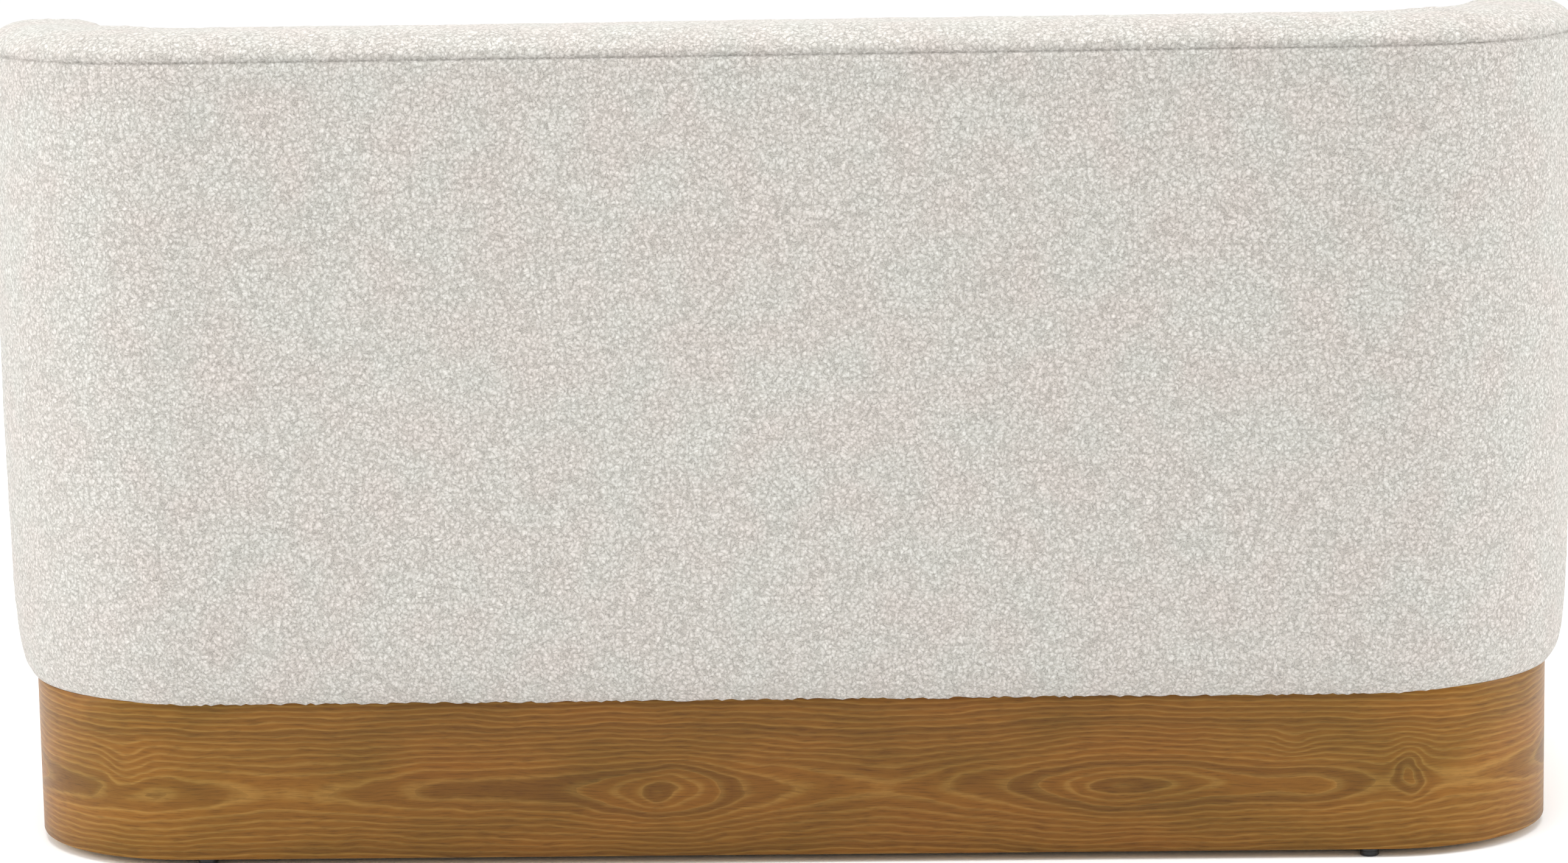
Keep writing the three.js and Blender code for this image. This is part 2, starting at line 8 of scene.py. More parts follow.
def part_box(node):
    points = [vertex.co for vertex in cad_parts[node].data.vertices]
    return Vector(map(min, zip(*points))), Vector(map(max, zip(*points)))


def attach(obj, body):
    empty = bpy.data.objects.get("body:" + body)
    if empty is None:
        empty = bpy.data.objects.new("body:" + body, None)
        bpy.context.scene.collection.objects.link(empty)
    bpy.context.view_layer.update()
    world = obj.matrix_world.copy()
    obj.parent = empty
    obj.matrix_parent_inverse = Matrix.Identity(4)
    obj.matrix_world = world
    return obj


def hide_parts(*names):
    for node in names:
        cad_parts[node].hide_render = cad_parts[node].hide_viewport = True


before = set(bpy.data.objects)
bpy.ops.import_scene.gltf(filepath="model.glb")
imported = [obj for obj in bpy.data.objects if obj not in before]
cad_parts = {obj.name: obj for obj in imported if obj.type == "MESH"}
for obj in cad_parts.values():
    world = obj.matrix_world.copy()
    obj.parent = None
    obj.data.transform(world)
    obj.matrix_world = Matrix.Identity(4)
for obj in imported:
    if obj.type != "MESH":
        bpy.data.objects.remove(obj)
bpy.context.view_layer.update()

# Lengths are in millimetres, and become metres where a mesh is made.
MM = 0.001


def box_mm(node):
    """The lowest and highest corners of a CAD node, in millimetres."""
    low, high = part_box(node)
    return np.array(low) / MM, np.array(high) / MM


# ---- Sizes ----

plinth_low, plinth_high = box_mm("plinth_veneer")
deck_low, deck_high = box_mm("deck_cover")
seat_low, seat_high = box_mm("seat_cushion")
zip_low, zip_high = box_mm("cushion_zip")
slider_low, slider_high = box_mm("cushion_zip_slider")
band_high = box_mm("top_band_cover")[1]
rail_high = box_mm("front_rail_cover")[1]
dust_high = box_mm("dust_cover")[1]

PLINTH_X = plinth_high[0]
PLINTH_Y = plinth_high[1]
PLINTH_BOTTOM = plinth_low[2]
PLINTH_TOP = plinth_high[2]
PLINTH_CORNER = 165
VENEER = 2.5
EDGE_ROUND = 0.8

HEIGHT = band_high[2]
SEAM = 759.0  # the seam under the top band
SEAM_GAP = 0.15  # each cover stops this far short of a seam
SEAT_HEIGHT = seat_high[2]
DECK_HEIGHT = deck_high[2]
CORNER_LOW = 185  # plan corner radius of the body at the plinth
CORNER_HIGH = 205  # and at the seam
CLOTH = 2.8  # the fabric with its thin wadding
DECK_CLOTH = 1.2  # the fabric by itself
LINING = 0.5
HEM = 158.2  # the tucked lower edge hangs this low over the plinth's top edge
HEM_LOOPS = 2.2  # and single loops of the yarn hang up to this much lower
FULL_OVERHANG = 25

# How far the body stands out past the plinth, from its tucked lower edge up to the seam.
OVERHANG = [(158.2, 1.6), (158.8, 3.4), (160.5, 5.8), (165, 8.6), (175, 12.8), (190, 15.6), (215, 17.9),
            (260, 20.2), (450, 22.8), (740, 25), (800, 25)]
# Thickness of the upholstered wall at the deck, at the seat and at the top.
WALL_HEIGHTS = (300.5, 450, 765)
ARM_WALL = (135, 132, 118)
BACK_WALL = (172, 165, 118)
INNER_CORNER = 110
NOSE_ROUND = [(160, 1.2), (296, 1.5), (306, 6), (330, 12), (372, 18), (800, 18)]  # front upright edge
SPLIT_Y = 125  # the upright seams between the inner back and the inner arms
FRONT_HALF = rail_high[0]  # the front rail cover reaches this far to each side
FRONT_ROUND = 6  # rounding of its upper edge

BAND_OUT = 40  # how far the rounding of the top band's outer edge runs across the top
BAND_IN = 44  # and that of its inner edge
BAND_CROWN = 0.6  # how far its middle stands above the ends of the roundings
BAND_JOINT_ANGLE = 64  # where the band is joined, in degrees round each rear corner

SLOPE_START, SLOPE_FALL = 195, 0.22  # the arm tops fall from here to the front, by this share
SLOPE_LOW, SLOPE_FULL = 450, 740  # heights between which the fall grows from none to all of it

GRID = 4.9  # spacing of the cover meshes
FINE = 2.2  # and beside their seams

SEAM_DEPTH = 2.6  # a seam's valley
SEAM_WIDTH = 1.7
PUFF = 0.9  # the cloth stands out this much beside it
PUFF_PLACE, PUFF_WIDTH = 9, 6

DECK_CORNERS = (10, 102)  # plan corner radii at the front and at the back
CUSHION_CORNERS = (42, 98)
DUST_CORNER = 145

SEAM_INSET = 5  # the cushion's seams lie this far in from its sides
BORDER_TOP = SEAT_HEIGHT - 15
BORDER_BOTTOM = seat_low[2] + 9
TOP_RISE, TOP_REACH = 2.0, 30  # rounding of the cushion's top before it is blown out
BOTTOM_FALL, BOTTOM_REACH = 7.6, 26  # and of its bottom
BORDER_REACH = 16  # and of its border's edges
FOAM_CROWN = 13  # how far pressure may push the cloth out
SEAM_ROWS = [1.5, 3.5, 7, 12, 19]  # rows of points that lie this far from a seam of the cushion
OPEN_ROW = 28  # the last of them
EVEN_ROWS = 38  # and evenly spaced rows from this far in

TOOTH_PITCH = 4.0  # a nylon coil's is about 1.5 mm, drawn coarser so that it shows

LOOP = 5.0  # the loops of the boucle yarn are 4 to 6 mm across
LOOP_CELL = 0.66 * LOOP  # a cut through round cells shows them wider than their spacing
YARN = 1.7  # the curls inside a loop

# The figure of the veneer on its unrolled leaf: (along, height, reach along, depth) of each place
# where the cut dips into the log, so that the rings close into an eye. 0 is the middle of the back.
LEAF_DIPS = [
    (150, 150, 19), (330, 90, 9), (-312, 60, 10), (-330, 150, 26), (-500, 60, 10), (-100, 60, -5),
    (600, 90, 9), (860, 170, 32), (-860, 150, 27),
]
LEAF_DEPTH = 46  # how far the cut lies from the heart of the log elsewhere
LEAF_CENTRE = 72  # height of the line that the rings open round
RING = 5.2  # width of a growth ring
# Round swirls: (along, height, reach along, reach up, strength in rings).
SWIRLS = [
    (106, 64, 62, 46, -2.4), (112, 68, 18, 22, -0.9), (626, 98, 22, 28, 1.8), (-582, 86, 16, 34, -2.2),
    (-478, 112, 20, 14, 1.3),
]
# How long and how high the parts of the veneer's figure are on the leaf.
WANDER = (90.9, 38.46)  # slow drift of its lines
RIPPLE = (31.25, 16.67)  # their small wavering
PATCH = (142.9, 62.5)  # patches of slightly different colour
PORE = 1.6  # pores are 0.3 mm wide, drawn coarser so that they show
FIBRES = (20.83, PORE)  # bundles of fibres, and the pores between them
PLY = 1.6  # one ply of the plywood
THREAD = 2.0  # a lining's threads are 0.4 mm apart, drawn coarser so that the weave shows
WEAVE = 1 / 6.3  # wave scale for each thread to a metre, which puts one band on two threads

# Soft boxes: name, place in metres, point that it faces, width, height, watts.
LIGHTS = [
    ("key", (3.2, 2.8, 2.7), (0.4, 0.2, 0.5), 2.0, 2.0, 38),
    ("side_right", (3.6, 0.8, 1.2), (0.7, 0, 0.4), 1.6, 2.0, 34),
    ("side_left", (-3.6, 0.4, 1.2), (-0.7, 0, 0.4), 1.6, 2.0, 46),
    ("top", (0, 0.6, 3.8), (0, 0.2, 0), 3.4, 2.6, 96),
    ("front", (0.9, -4.2, 2.0), (0, 0, 0.4), 2.6, 2.0, 14),
]
SUN_STRENGTH = 0.6  # wide light straight down, so that the floor is white as far as it reaches
SKY = 0.83

# The camera stands behind the sofa, a little to its left, and looks slightly down. Its lens is in
# millimetres, its place in metres and its angles in degrees.
CAMERA = {
    "lens": 109.47, "place": (-0.1476, 4.7056, 1.1393), "turn": 181.885, "tilt": 9.563, "roll": -0.997,
}


# ---- Curves and grids ----

def through(rows, at):
    """A smooth curve through rows of (place, value) that doesn't overshoot them."""
    x, y = np.array(rows, float).T
    slope = np.diff(y) / np.diff(x)
    product = slope[:-1] * slope[1:]
    inner = np.where(product > 0, 2 * product / np.where(product > 0, slope[:-1] + slope[1:], 1), 0)
    tangent = np.concatenate([[slope[0]], inner, [slope[-1]]])
    at = np.clip(np.asarray(at, float), x[0], x[-1])
    row = np.clip(np.searchsorted(x, at, side="right") - 1, 0, len(x) - 2)
    width = x[row + 1] - x[row]
    t = (at - x[row]) / width
    start = (1 + 2 * t) * (1 - t) ** 2 * y[row] + t * (1 - t) ** 2 * width * tangent[row]
    end = t * t * (3 - 2 * t) * y[row + 1] + t * t * (t - 1) * width * tangent[row + 1]
    return start + end


def arc(centre, radius, start, end):
    """Points about a millimetre apart on an arc between two angles in degrees."""
    steps = max(3, int(math.radians(abs(end - start)) * radius) + 1)
    angles = np.radians(np.linspace(start, end, steps))
    return np.stack([centre[0] + radius * np.cos(angles), centre[1] + radius * np.sin(angles)], 1)


def resample(points, shares):
    """Points at the given shares of a line's length."""
    steps = np.linalg.norm(np.diff(points, axis=0), axis=1)
    length = np.concatenate([[0], np.cumsum(steps)])
    at = np.asarray(shares) * length[-1]
    return np.stack([np.interp(at, length, points[:, axis]) for axis in (0, 1)], 1)


def even(length, spacing):
    return np.linspace(0, 1, max(2, int(round(length / spacing)) + 1))


def fine_ends(length, spacing, fine, reach, ends=(True, True)):
    """Shares of a length that lie closer together near its ends."""
    places = [0.0]
    while places[-1] < length:
        near = min(places[-1] if ends[0] else length, length - places[-1] if ends[1] else length)
        places.append(places[-1] + fine + (spacing - fine) * min(1, max(0, near / reach)))
    return np.array(places) / places[-1]


def lower(points):
    """The arm tops fall towards the front, more the higher a point is."""
    along = np.maximum(0, SLOPE_START - points[..., 1]) * SLOPE_FALL
    share = np.clip((points[..., 2] - SLOPE_LOW) / (SLOPE_FULL - SLOPE_LOW), 0, 1)
    moved = points.copy()
    moved[..., 2] -= along * share
    return moved


def grid_normals(grid):
    across = np.gradient(grid, axis=1)
    up = np.gradient(grid, axis=0)
    normal = np.cross(across, up)
    return normal / np.maximum(np.linalg.norm(normal, axis=-1, keepdims=True), 1e-9)


def seam_profile(distance, depth=SEAM_DEPTH):
    """How far cloth stands out beside a seam: a narrow valley, then a slight puff."""
    valley = -depth * np.exp(-((distance / SEAM_WIDTH) ** 2))
    puff = PUFF * np.exp(-(((distance - PUFF_PLACE) / PUFF_WIDTH) ** 2))
    return valley + puff


def cloth_swell(points):
    """Small hills of the loops and long soft ones of the wadding, for points in millimetres. Each has
    a height and a spacing, and a shift that keeps its pattern apart from the others."""
    out = []
    for x, y, z in points.reshape(-1, 3):
        loops = 0.55 * noise.noise(Vector((x, y, z)) / 10.5)
        lumps = 0.45 * noise.noise(Vector((x + 300, y, z)) / 38)
        wadding = 0.5 * noise.noise(Vector((x, y - 900, z)) / 210)
        out.append(loops + lumps + wadding)
    return np.array(out).reshape(points.shape[:-1])


# ---- Meshes ----

def make_piece(name, points, faces, material, body, replaced=(), smooth_angle=60):
    """A mesh object from points in millimetres, riding on a body."""
    mesh = bpy.data.meshes.new(name)
    mesh.from_pydata((np.asarray(points, float) * MM).tolist(), [], faces)
    mesh.validate()
    mesh.update()
    mesh.shade_smooth()
    mesh.set_sharp_from_angle(angle=math.radians(smooth_angle))
    mesh.materials.append(material)
    piece = bpy.data.objects.new(name, mesh)
    bpy.context.scene.collection.objects.link(piece)
    if replaced:
        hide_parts(*replaced)
    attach(piece, body)
    return piece


def every(count, step):
    """Every so many of a count, with the last one always in."""
    picked = list(range(0, count - 1, step))
    return picked + [count - 1]


def quads(ids, turned=False):
    """Faces between the neighbours in a grid of point numbers."""
    first, second, third, fourth = ids[:-1, :-1], ids[:-1, 1:], ids[1:, 1:], ids[1:, :-1]
    if turned:
        second, fourth = fourth, second
    return np.stack([first, second, third, fourth], -1).reshape(-1, 4).tolist()


def cloth_shell(face, thickness, step=6):
    """Points and faces of a closed sheet: a fine grid in front, a coarser one behind it and a rim."""
    rows, columns = face.shape[:2]
    coarse_rows, coarse_columns = every(rows, step), every(columns, step)
    back = (face - grid_normals(face) * thickness)[np.ix_(coarse_rows, coarse_columns)]
    points = np.concatenate([face.reshape(-1, 3), back.reshape(-1, 3)])
    ids = np.arange(rows * columns).reshape(rows, columns)
    behind = rows * columns + np.arange(back.shape[0] * back.shape[1]).reshape(back.shape[:2])
    faces = quads(ids) + quads(behind, turned=True)
    edges = [
        (ids[0], behind[0], coarse_columns, False),
        (ids[-1], behind[-1], coarse_columns, True),
        (ids[:, 0], behind[:, 0], coarse_rows, True),
        (ids[:, -1], behind[:, -1], coarse_rows, False),
    ]
    for fine_line, coarse_line, picked, turned in edges:
        for number, (start, end) in enumerate(zip(picked, picked[1:])):
            rim = fine_line[start:end + 1].tolist()
            rim = rim[::-1] + [coarse_line[number], coarse_line[number + 1]]
            faces.append([int(i) for i in (rim[::-1] if turned else rim)])
    return points, faces


def outward_normals(grid, inside):
    """A grid's normals, turned away from an upright line through a point inside."""
    normal = grid_normals(grid)
    away = ((grid - np.array(inside)) * normal)[..., :2].sum()
    return normal if away > 0 else -normal


# ---- Plans of the body ----

def overhang(z):
    return float(through(OVERHANG, z))


def corner_radius(z):
    share = min(1, max(0, (z - PLINTH_TOP) / (SLOPE_FULL - PLINTH_TOP)))
    return CORNER_LOW + (CORNER_HIGH - CORNER_LOW) * share


def arm_face(z):
    """X of the inside of the right-hand arm."""
    inside = PLINTH_X + FULL_OVERHANG - np.interp(z, WALL_HEIGHTS, ARM_WALL)
    share = min(1, max(0, (z - 296) / 12))
    return FRONT_HALF + 0.3 + (inside - FRONT_HALF - 0.3) * share


def back_face(z):
    """Y of the inside of the back."""
    return PLINTH_Y + FULL_OVERHANG - float(np.interp(z, WALL_HEIGHTS, BACK_WALL))


def outer_parts(z):
    """The outside of the body on the right at one height, from the nose of the arm to the back."""
    out = overhang(z)
    radius = corner_radius(z)
    half_x, half_y = PLINTH_X + out, PLINTH_Y + out
    centre_x, centre_y = half_x - radius, half_y - radius
    nose = float(through(NOSE_ROUND, z))
    nose_x = arm_face(z) + nose
    nose_y = -centre_y - math.sqrt((radius - nose) ** 2 - (nose_x - centre_x) ** 2)
    meet = math.degrees(math.atan2(nose_y + centre_y, nose_x - centre_x))
    front = np.concatenate([
        arc((nose_x, nose_y), nose, -180, meet),
        arc((centre_x, -centre_y), radius, meet, 0)[1:],
    ])
    side = np.array([[half_x, -centre_y], [half_x, centre_y]])
    corner = arc((centre_x, centre_y), radius, 0, 90)
    back = np.array([[centre_x, half_y], [0, half_y]])
    return front, side, corner, back


def inner_parts(z, nose_y):
    """The inside of the wall on the right at one height, from the nose to the middle of the back."""
    x, y = arm_face(z), back_face(z)
    middle = (x - INNER_CORNER, y - INNER_CORNER)
    start = -(PLINTH_Y + FULL_OVERHANG - CORNER_HIGH)
    front = np.array([[x, nose_y], [x, start]])
    side = np.array([[x, start], [x, middle[1]]])
    corner = arc(middle, INNER_CORNER, 0, 90)
    back = np.array([[middle[0], y], [0, y]])
    return front, side, corner, back


def joined(parts):
    line = [parts[0]] + [part[1:] for part in parts[1:]]
    return np.concatenate(line)


def both_sides(right):
    """A line on the right, carried on over the middle to its mirror image on the left."""
    left = right[::-1] * (-1, 1)
    return np.concatenate([right, left[1:]])


def cut_line(points, kept):
    """The stretch of a line from its first kept point to its last."""
    places = np.nonzero(kept)[0]
    return points[places[0]:places[-1] + 1]


def heights(bottom, top, spacing, low_reach, high_reach):
    """Rows from bottom to top, closer together near each end."""
    places = [bottom]
    while places[-1] < top:
        near_low = (places[-1] - bottom) / low_reach
        near_high = (top - places[-1]) / high_reach
        share = min(1, near_low, max(0, near_high))
        places.append(places[-1] + 0.7 + (spacing - 0.7) * share)
    places[-1] = top
    if places[-1] - places[-2] < 0.3:
        places.pop(-2)
    return places


def loose_hem(grid):
    """Lets the loops along a grid's lowest edge hang unevenly."""
    chance = np.random.default_rng(11)
    drop = chance.uniform(0, HEM_LOOPS, grid.shape[1])
    grid = grid.copy()
    grid[0, :, 2] -= drop
    grid[1, :, 2] -= drop / 2
    return grid


# ---- Covers ----

def wrap_grid():
    """Outer cover, from the nose of one arm round the back to the other."""
    length = 3000
    shares = fine_ends(length, GRID, FINE, 70)
    levels = heights(HEM, SEAM - SEAM_GAP, GRID, 22, 22)
    rows, from_ends = [], []
    for z in levels:
        line = resample(both_sides(joined(outer_parts(z))), shares)
        rows.append(np.column_stack([line, np.full(len(line), z)]))
        from_ends.append(np.minimum(shares, 1 - shares) * length)
    grid = np.array(rows)
    normal = outward_normals(grid, (0, 0, 0))
    level = np.array(levels)[:, None]
    out = seam_profile(SEAM - level)
    out = out + seam_profile(np.array(from_ends), 1.6) * (level > DECK_HEIGHT)
    out = out + seam_profile(np.array(from_ends), 1.2) * (level <= DECK_HEIGHT)
    quiet = np.clip((level - PLINTH_TOP) / 12, 0.25, 1)
    grid = grid + normal * (out + cloth_swell(grid) * quiet)[..., None]
    return lower(loose_hem(grid))


def band_lines():
    """The band's outer and inner edges on the right, with matching points, from nose to back."""
    outer = outer_parts(SEAM)
    inner = inner_parts(SEAM, outer[0][0][1])
    shares = [fine_ends(240, GRID, 1.6, 90, (True, False))]
    shares += [even(390, GRID), even(322, GRID), even(545, GRID)]
    sides = []
    for parts in (outer, inner):
        pieces = [resample(part, share) for part, share in zip(parts, shares)]
        sides.append(both_sides(joined(pieces)))
    return sides


def edge_distance(points, line):
    """The distance in plan from each point to a line."""
    starts, ends = line[:-1], line[1:]
    along = ends - starts
    size = np.maximum((along ** 2).sum(-1), 1e-9)
    best = np.full(len(points), np.inf)
    for start in range(0, len(points), 4000):
        part = points[start:start + 4000, None]
        share = np.clip(((part - starts) * along).sum(-1) / size, 0, 1)
        near = starts + along * share[..., None]
        best[start:start + 4000] = np.linalg.norm(part - near, axis=-1).min(1)
    return best


def rounding(distance, radius):
    share = np.clip(distance / radius, 0, 1)
    return np.sqrt(1 - (1 - share) ** 2)


def band_grid():
    """The rounded band along the top of the wall, closing to a rounded nose on each arm."""
    outer, inner = band_lines()
    width = np.linalg.norm(outer - inner, axis=1)
    turns = np.radians([0, 1.5, 3.5, 6, 10, 15, 21, 28, 36, 45, 55, 66, 78, 90])
    edge = 1 - np.cos(turns)
    out_reach = np.minimum(BAND_OUT, 0.5 * width)[:, None]
    in_reach = np.minimum(BAND_IN, 0.44 * width)[:, None]
    safe = np.maximum(width, 1e-6)[:, None]
    flat = np.linspace(0, 1, 16)[1:-1]
    first = out_reach * edge / safe
    last = 1 - in_reach * edge[::-1] / safe
    middle = first[:, -1:] + (last[:, :1] - first[:, -1:]) * flat
    across = np.concatenate([first, middle, last], 1)
    plan = outer[:, None] + (inner - outer)[:, None] * across[..., None]
    flat_points = plan.reshape(-1, 2)
    from_outer = edge_distance(flat_points, outer).reshape(across.shape)
    from_inner = edge_distance(flat_points, inner).reshape(across.shape)
    base = SEAM + SEAM_GAP
    rise = np.minimum(rounding(from_outer, BAND_OUT), rounding(from_inner, BAND_IN))
    crown = np.clip(np.minimum(from_outer, from_inner) / 55, 0, 1)
    z = base + (HEIGHT - base) * rise + BAND_CROWN * crown * (2 - crown) - BAND_CROWN
    z[:, 0] = base
    z[:, -1] = base
    grid = np.concatenate([plan, z[..., None]], -1)
    normal = grid_normals(grid)
    normal *= np.sign(normal[len(normal) // 2, len(turns) + 5, 2])
    beside = np.minimum(np.abs(z - base) + from_outer, np.abs(z - base) + from_inner)
    out = seam_profile(beside)
    rear = np.array([PLINTH_X + FULL_OVERHANG - CORNER_HIGH, PLINTH_Y + FULL_OVERHANG - CORNER_HIGH])
    offset = np.abs(plan) * (1, 1) - rear
    angle = np.arctan2(plan[..., 1] - rear[1], offset[..., 0])
    radius = np.hypot(offset[..., 0], plan[..., 1] - rear[1])
    joint = np.abs(angle - math.radians(BAND_JOINT_ANGLE)) * radius
    out = out + np.where(joint < 30, seam_profile(joint, 1.3), 0)
    quiet = np.clip(np.minimum(width / 40, 1), 0.1, 1)[:, None]
    grid = grid + normal * (out * np.clip(quiet * 2, 0, 1) + cloth_swell(grid) * quiet)[..., None]
    return lower(grid)


def inner_grid(part):
    """Inside cover of the wall: "back" between the upright seams, or "right" for that arm."""
    levels = heights(DECK_HEIGHT + 0.7, SEAM - SEAM_GAP, GRID, 14, 22)
    length = 1640 if part == "back" else 480
    shares = fine_ends(length, GRID, FINE, 30)
    rows = []
    for z in levels:
        nose_y = outer_parts(z)[0][0][1]
        line = resample(joined(inner_parts(z, nose_y)), np.linspace(0, 1, 1600))
        if part == "back":
            line = both_sides(cut_line(line, line[:, 1] >= SPLIT_Y + SEAM_GAP))
        else:
            line = cut_line(line, line[:, 1] <= SPLIT_Y - SEAM_GAP)
        line = resample(line, shares)
        rows.append(np.column_stack([line, np.full(len(line), z)]))
    grid = np.array(rows)
    normal = -outward_normals(grid, (0, -100, 0))
    level = np.array(levels)[:, None]
    from_end = (np.minimum(shares, 1 - shares) * length)[None]
    from_top = SEAM - level
    fullness = np.clip((level - 440) / 90, 0, 1) * np.clip(from_top / 90, 0, 1)
    fullness = fullness * fullness * (3 - 2 * fullness)
    padding = 6.5 * fullness * np.clip(0.25 + from_end / 60, 0, 1)
    out = padding + seam_profile(from_top) + seam_profile(from_end, 1.8)
    grid = grid + normal * (out + cloth_swell(grid))[..., None]
    return lower(grid)


def front_y(x, z, inset):
    """Y of the body's front at one height, for places along it, moved in by an inset."""
    out = overhang(z)
    radius = corner_radius(z)
    past = np.maximum(0, np.abs(x) - (PLINTH_X + out - radius))
    return radius - PLINTH_Y - out - np.sqrt((radius - inset) ** 2 - past ** 2)


def front_grid():
    """Front rail cover: up the face, over a rounded edge and back to the deck."""
    across = fine_ends(2 * FRONT_HALF, GRID, FINE, 30)
    x = (1 - 2 * across) * FRONT_HALF
    from_end = FRONT_HALF - np.abs(x)
    rows = []
    for z in heights(HEM, DECK_HEIGHT - FRONT_ROUND, GRID, 20, 0.01):
        rows.append(np.column_stack([x, front_y(x, z, 0), np.full(len(x), z)]))
    for degrees in range(15, 91, 15):
        angle = math.radians(degrees)
        z = DECK_HEIGHT - FRONT_ROUND + FRONT_ROUND * math.sin(angle)
        y = front_y(x, z, FRONT_ROUND * (1 - math.cos(angle)))
        rows.append(np.column_stack([x, y, np.full(len(x), z)]))
    edge_y = rows[-1][:, 1]
    for share in np.linspace(0, 1, 12)[1:]:
        y = edge_y + (deck_low[1] - 0.4 - edge_y) * share
        rows.append(np.column_stack([x, y, np.full(len(x), DECK_HEIGHT)]))
    grid = np.array(rows)
    normal = grid_normals(grid)
    normal *= np.sign(-normal[5, len(x) // 2, 1])
    swell = cloth_swell(grid) * np.clip((grid[..., 2] - PLINTH_TOP) / 12, 0.25, 1)
    on_top = np.clip((grid[..., 1] - edge_y - 2) / 8, 0, 1)
    swell = np.where(on_top > 0, np.minimum(swell, 0) * 0.3 - 0.2, swell)
    out = seam_profile(from_end, 1.2)[None] * (1 - on_top)
    return loose_hem(grid + normal * (out + swell)[..., None])


def corner_map(x, y, half_x, low_y, high_y, low_radius, high_radius):
    """Moves the points of a square-cornered plan into one with round corners."""
    x, y = x.copy(), y.copy()
    for sign_x in (-1, 1):
        for edge, radius, sign_y in ((low_y, low_radius, -1), (high_y, high_radius, 1)):
            u = (sign_x * x - (half_x - radius)) / radius
            v = (sign_y * (y - edge) + radius) / radius
            inside = (u > 0) & (v > 0)
            round_u = u * np.sqrt(np.clip(1 - v * v / 2, 0, 1))
            round_v = v * np.sqrt(np.clip(1 - u * u / 2, 0, 1))
            x = np.where(inside, sign_x * (half_x - radius + radius * round_u), x)
            y = np.where(inside, edge + sign_y * (radius * round_v - radius), y)
    return x, y


def deck_grid():
    """Deck cover: a flat sheet that lies in the wall, dipping a little between the springs."""
    half = deck_high[0]
    x, y = np.meshgrid(
        half * (1 - 2 * even(2 * half, 9)),
        deck_low[1] + (deck_high[1] - deck_low[1]) * even(555, 9),
    )
    x, y = corner_map(x, y, half, deck_low[1], deck_high[1], *DECK_CORNERS)
    z = deck_high[2] - 0.35 - 0.3 * np.cos(x / 215 * 2 * math.pi) * np.sin(y / 90)
    return np.stack([x, y, z], -1)


def dust_grid():
    """Dust cover under the plinth: thin black cloth with a turned hem, hanging in very slightly."""
    half_x, half_y = dust_high[0], dust_high[1]
    x, y = np.meshgrid(
        half_x * (1 - 2 * fine_ends(2 * half_x, 18, 3, 40)),
        half_y * (1 - 2 * fine_ends(2 * half_y, 18, 3, 40)),
    )
    from_edge = np.minimum(half_x - np.abs(x), half_y - np.abs(y))
    x, y = corner_map(x, y, half_x, -half_y, half_y, DUST_CORNER, DUST_CORNER)
    hem = 0.5 * (from_edge < 14)
    wave = 0.5 * np.sin(x / 46) * np.sin(y / 37) * np.clip(from_edge / 60, 0, 1)
    z = dust_high[2] - 0.8 - hem + wave
    return np.stack([x, y, z], -1)


def facing(grid, way):
    """The grid with its normals on the side that one direction points to."""
    middle = (grid.shape[0] // 2, grid.shape[1] // 2)
    return grid if np.dot(grid_normals(grid)[middle], way) > 0 else grid[:, ::-1]


def add_sheet(name, grid, thickness, material, replaced):
    """One sheet of cloth over a frame or padding node."""
    points, faces = cloth_shell(grid, thickness)
    piece = make_piece(name, points, faces, material, "sofa_frame", [replaced])


def add_covers(boucle, lining):
    """Every sheet of cloth on the frame, each one a closed shell."""
    rear, front, up = (0, 1, 0), (0, -1, 0), (0, 0, 1)
    wrap = facing(wrap_grid(), rear)
    add_sheet("outer_cover", wrap, CLOTH, boucle, "outer_wrap_cover")
    band = facing(band_grid(), up)
    add_sheet("top_band", band, CLOTH, boucle, "top_band_cover")
    back = facing(inner_grid("back"), front)
    add_sheet("inner_back", back, CLOTH, boucle, "inner_back_cover")
    arm = facing(inner_grid("right"), (-1, 0, 0))
    other_arm = (arm * (-1, 1, 1))[:, ::-1]
    for side, grid in (("right", arm), ("left", other_arm)):
        add_sheet(f"inner_arm_{side}", grid, CLOTH, boucle, f"inner_arm_cover_{side}")
    rail = facing(front_grid(), front)
    add_sheet("front_rail", rail, CLOTH, boucle, "front_rail_cover")
    deck = facing(deck_grid(), up)
    add_sheet("deck", deck, DECK_CLOTH, boucle, "deck_cover")
    under = dust_grid()[:, ::-1]
    add_sheet("dust_cloth", under, LINING, lining, "dust_cover")


# ---- Seat cushion ----

def cushion_plan():
    """Rows and columns of the top panel, closer together at its edges."""
    edge = [0, *SEAM_ROWS, OPEN_ROW]
    half_x, low_y, high_y = seat_high[0] - 3, seat_low[1] + 3, seat_high[1] - 2.5
    inner_x = np.linspace(-half_x + EVEN_ROWS, half_x - EVEN_ROWS, 112).tolist()
    inner_y = np.linspace(low_y + EVEN_ROWS, high_y - EVEN_ROWS, 54).tolist()
    columns = [-half_x + e for e in edge] + inner_x + [half_x - e for e in edge[::-1]]
    rows = [low_y + e for e in edge] + inner_y + [high_y - e for e in edge[::-1]]
    x, y = np.meshgrid(columns, rows)
    from_edge = np.minimum(half_x - np.abs(x), np.minimum(y - low_y, high_y - y))
    x, y = corner_map(x, y, half_x, low_y, high_y, *CUSHION_CORNERS)
    return x, y, from_edge


def drawn_in(x, y, inset):
    """Places on the cushion's plan, drawn in towards its middle."""
    middle = (seat_low[1] + seat_high[1]) / 2
    half_depth = (seat_high[1] - seat_low[1]) / 2
    return x * (1 - inset / seat_high[0]), middle + (y - middle) * (1 - inset / half_depth)


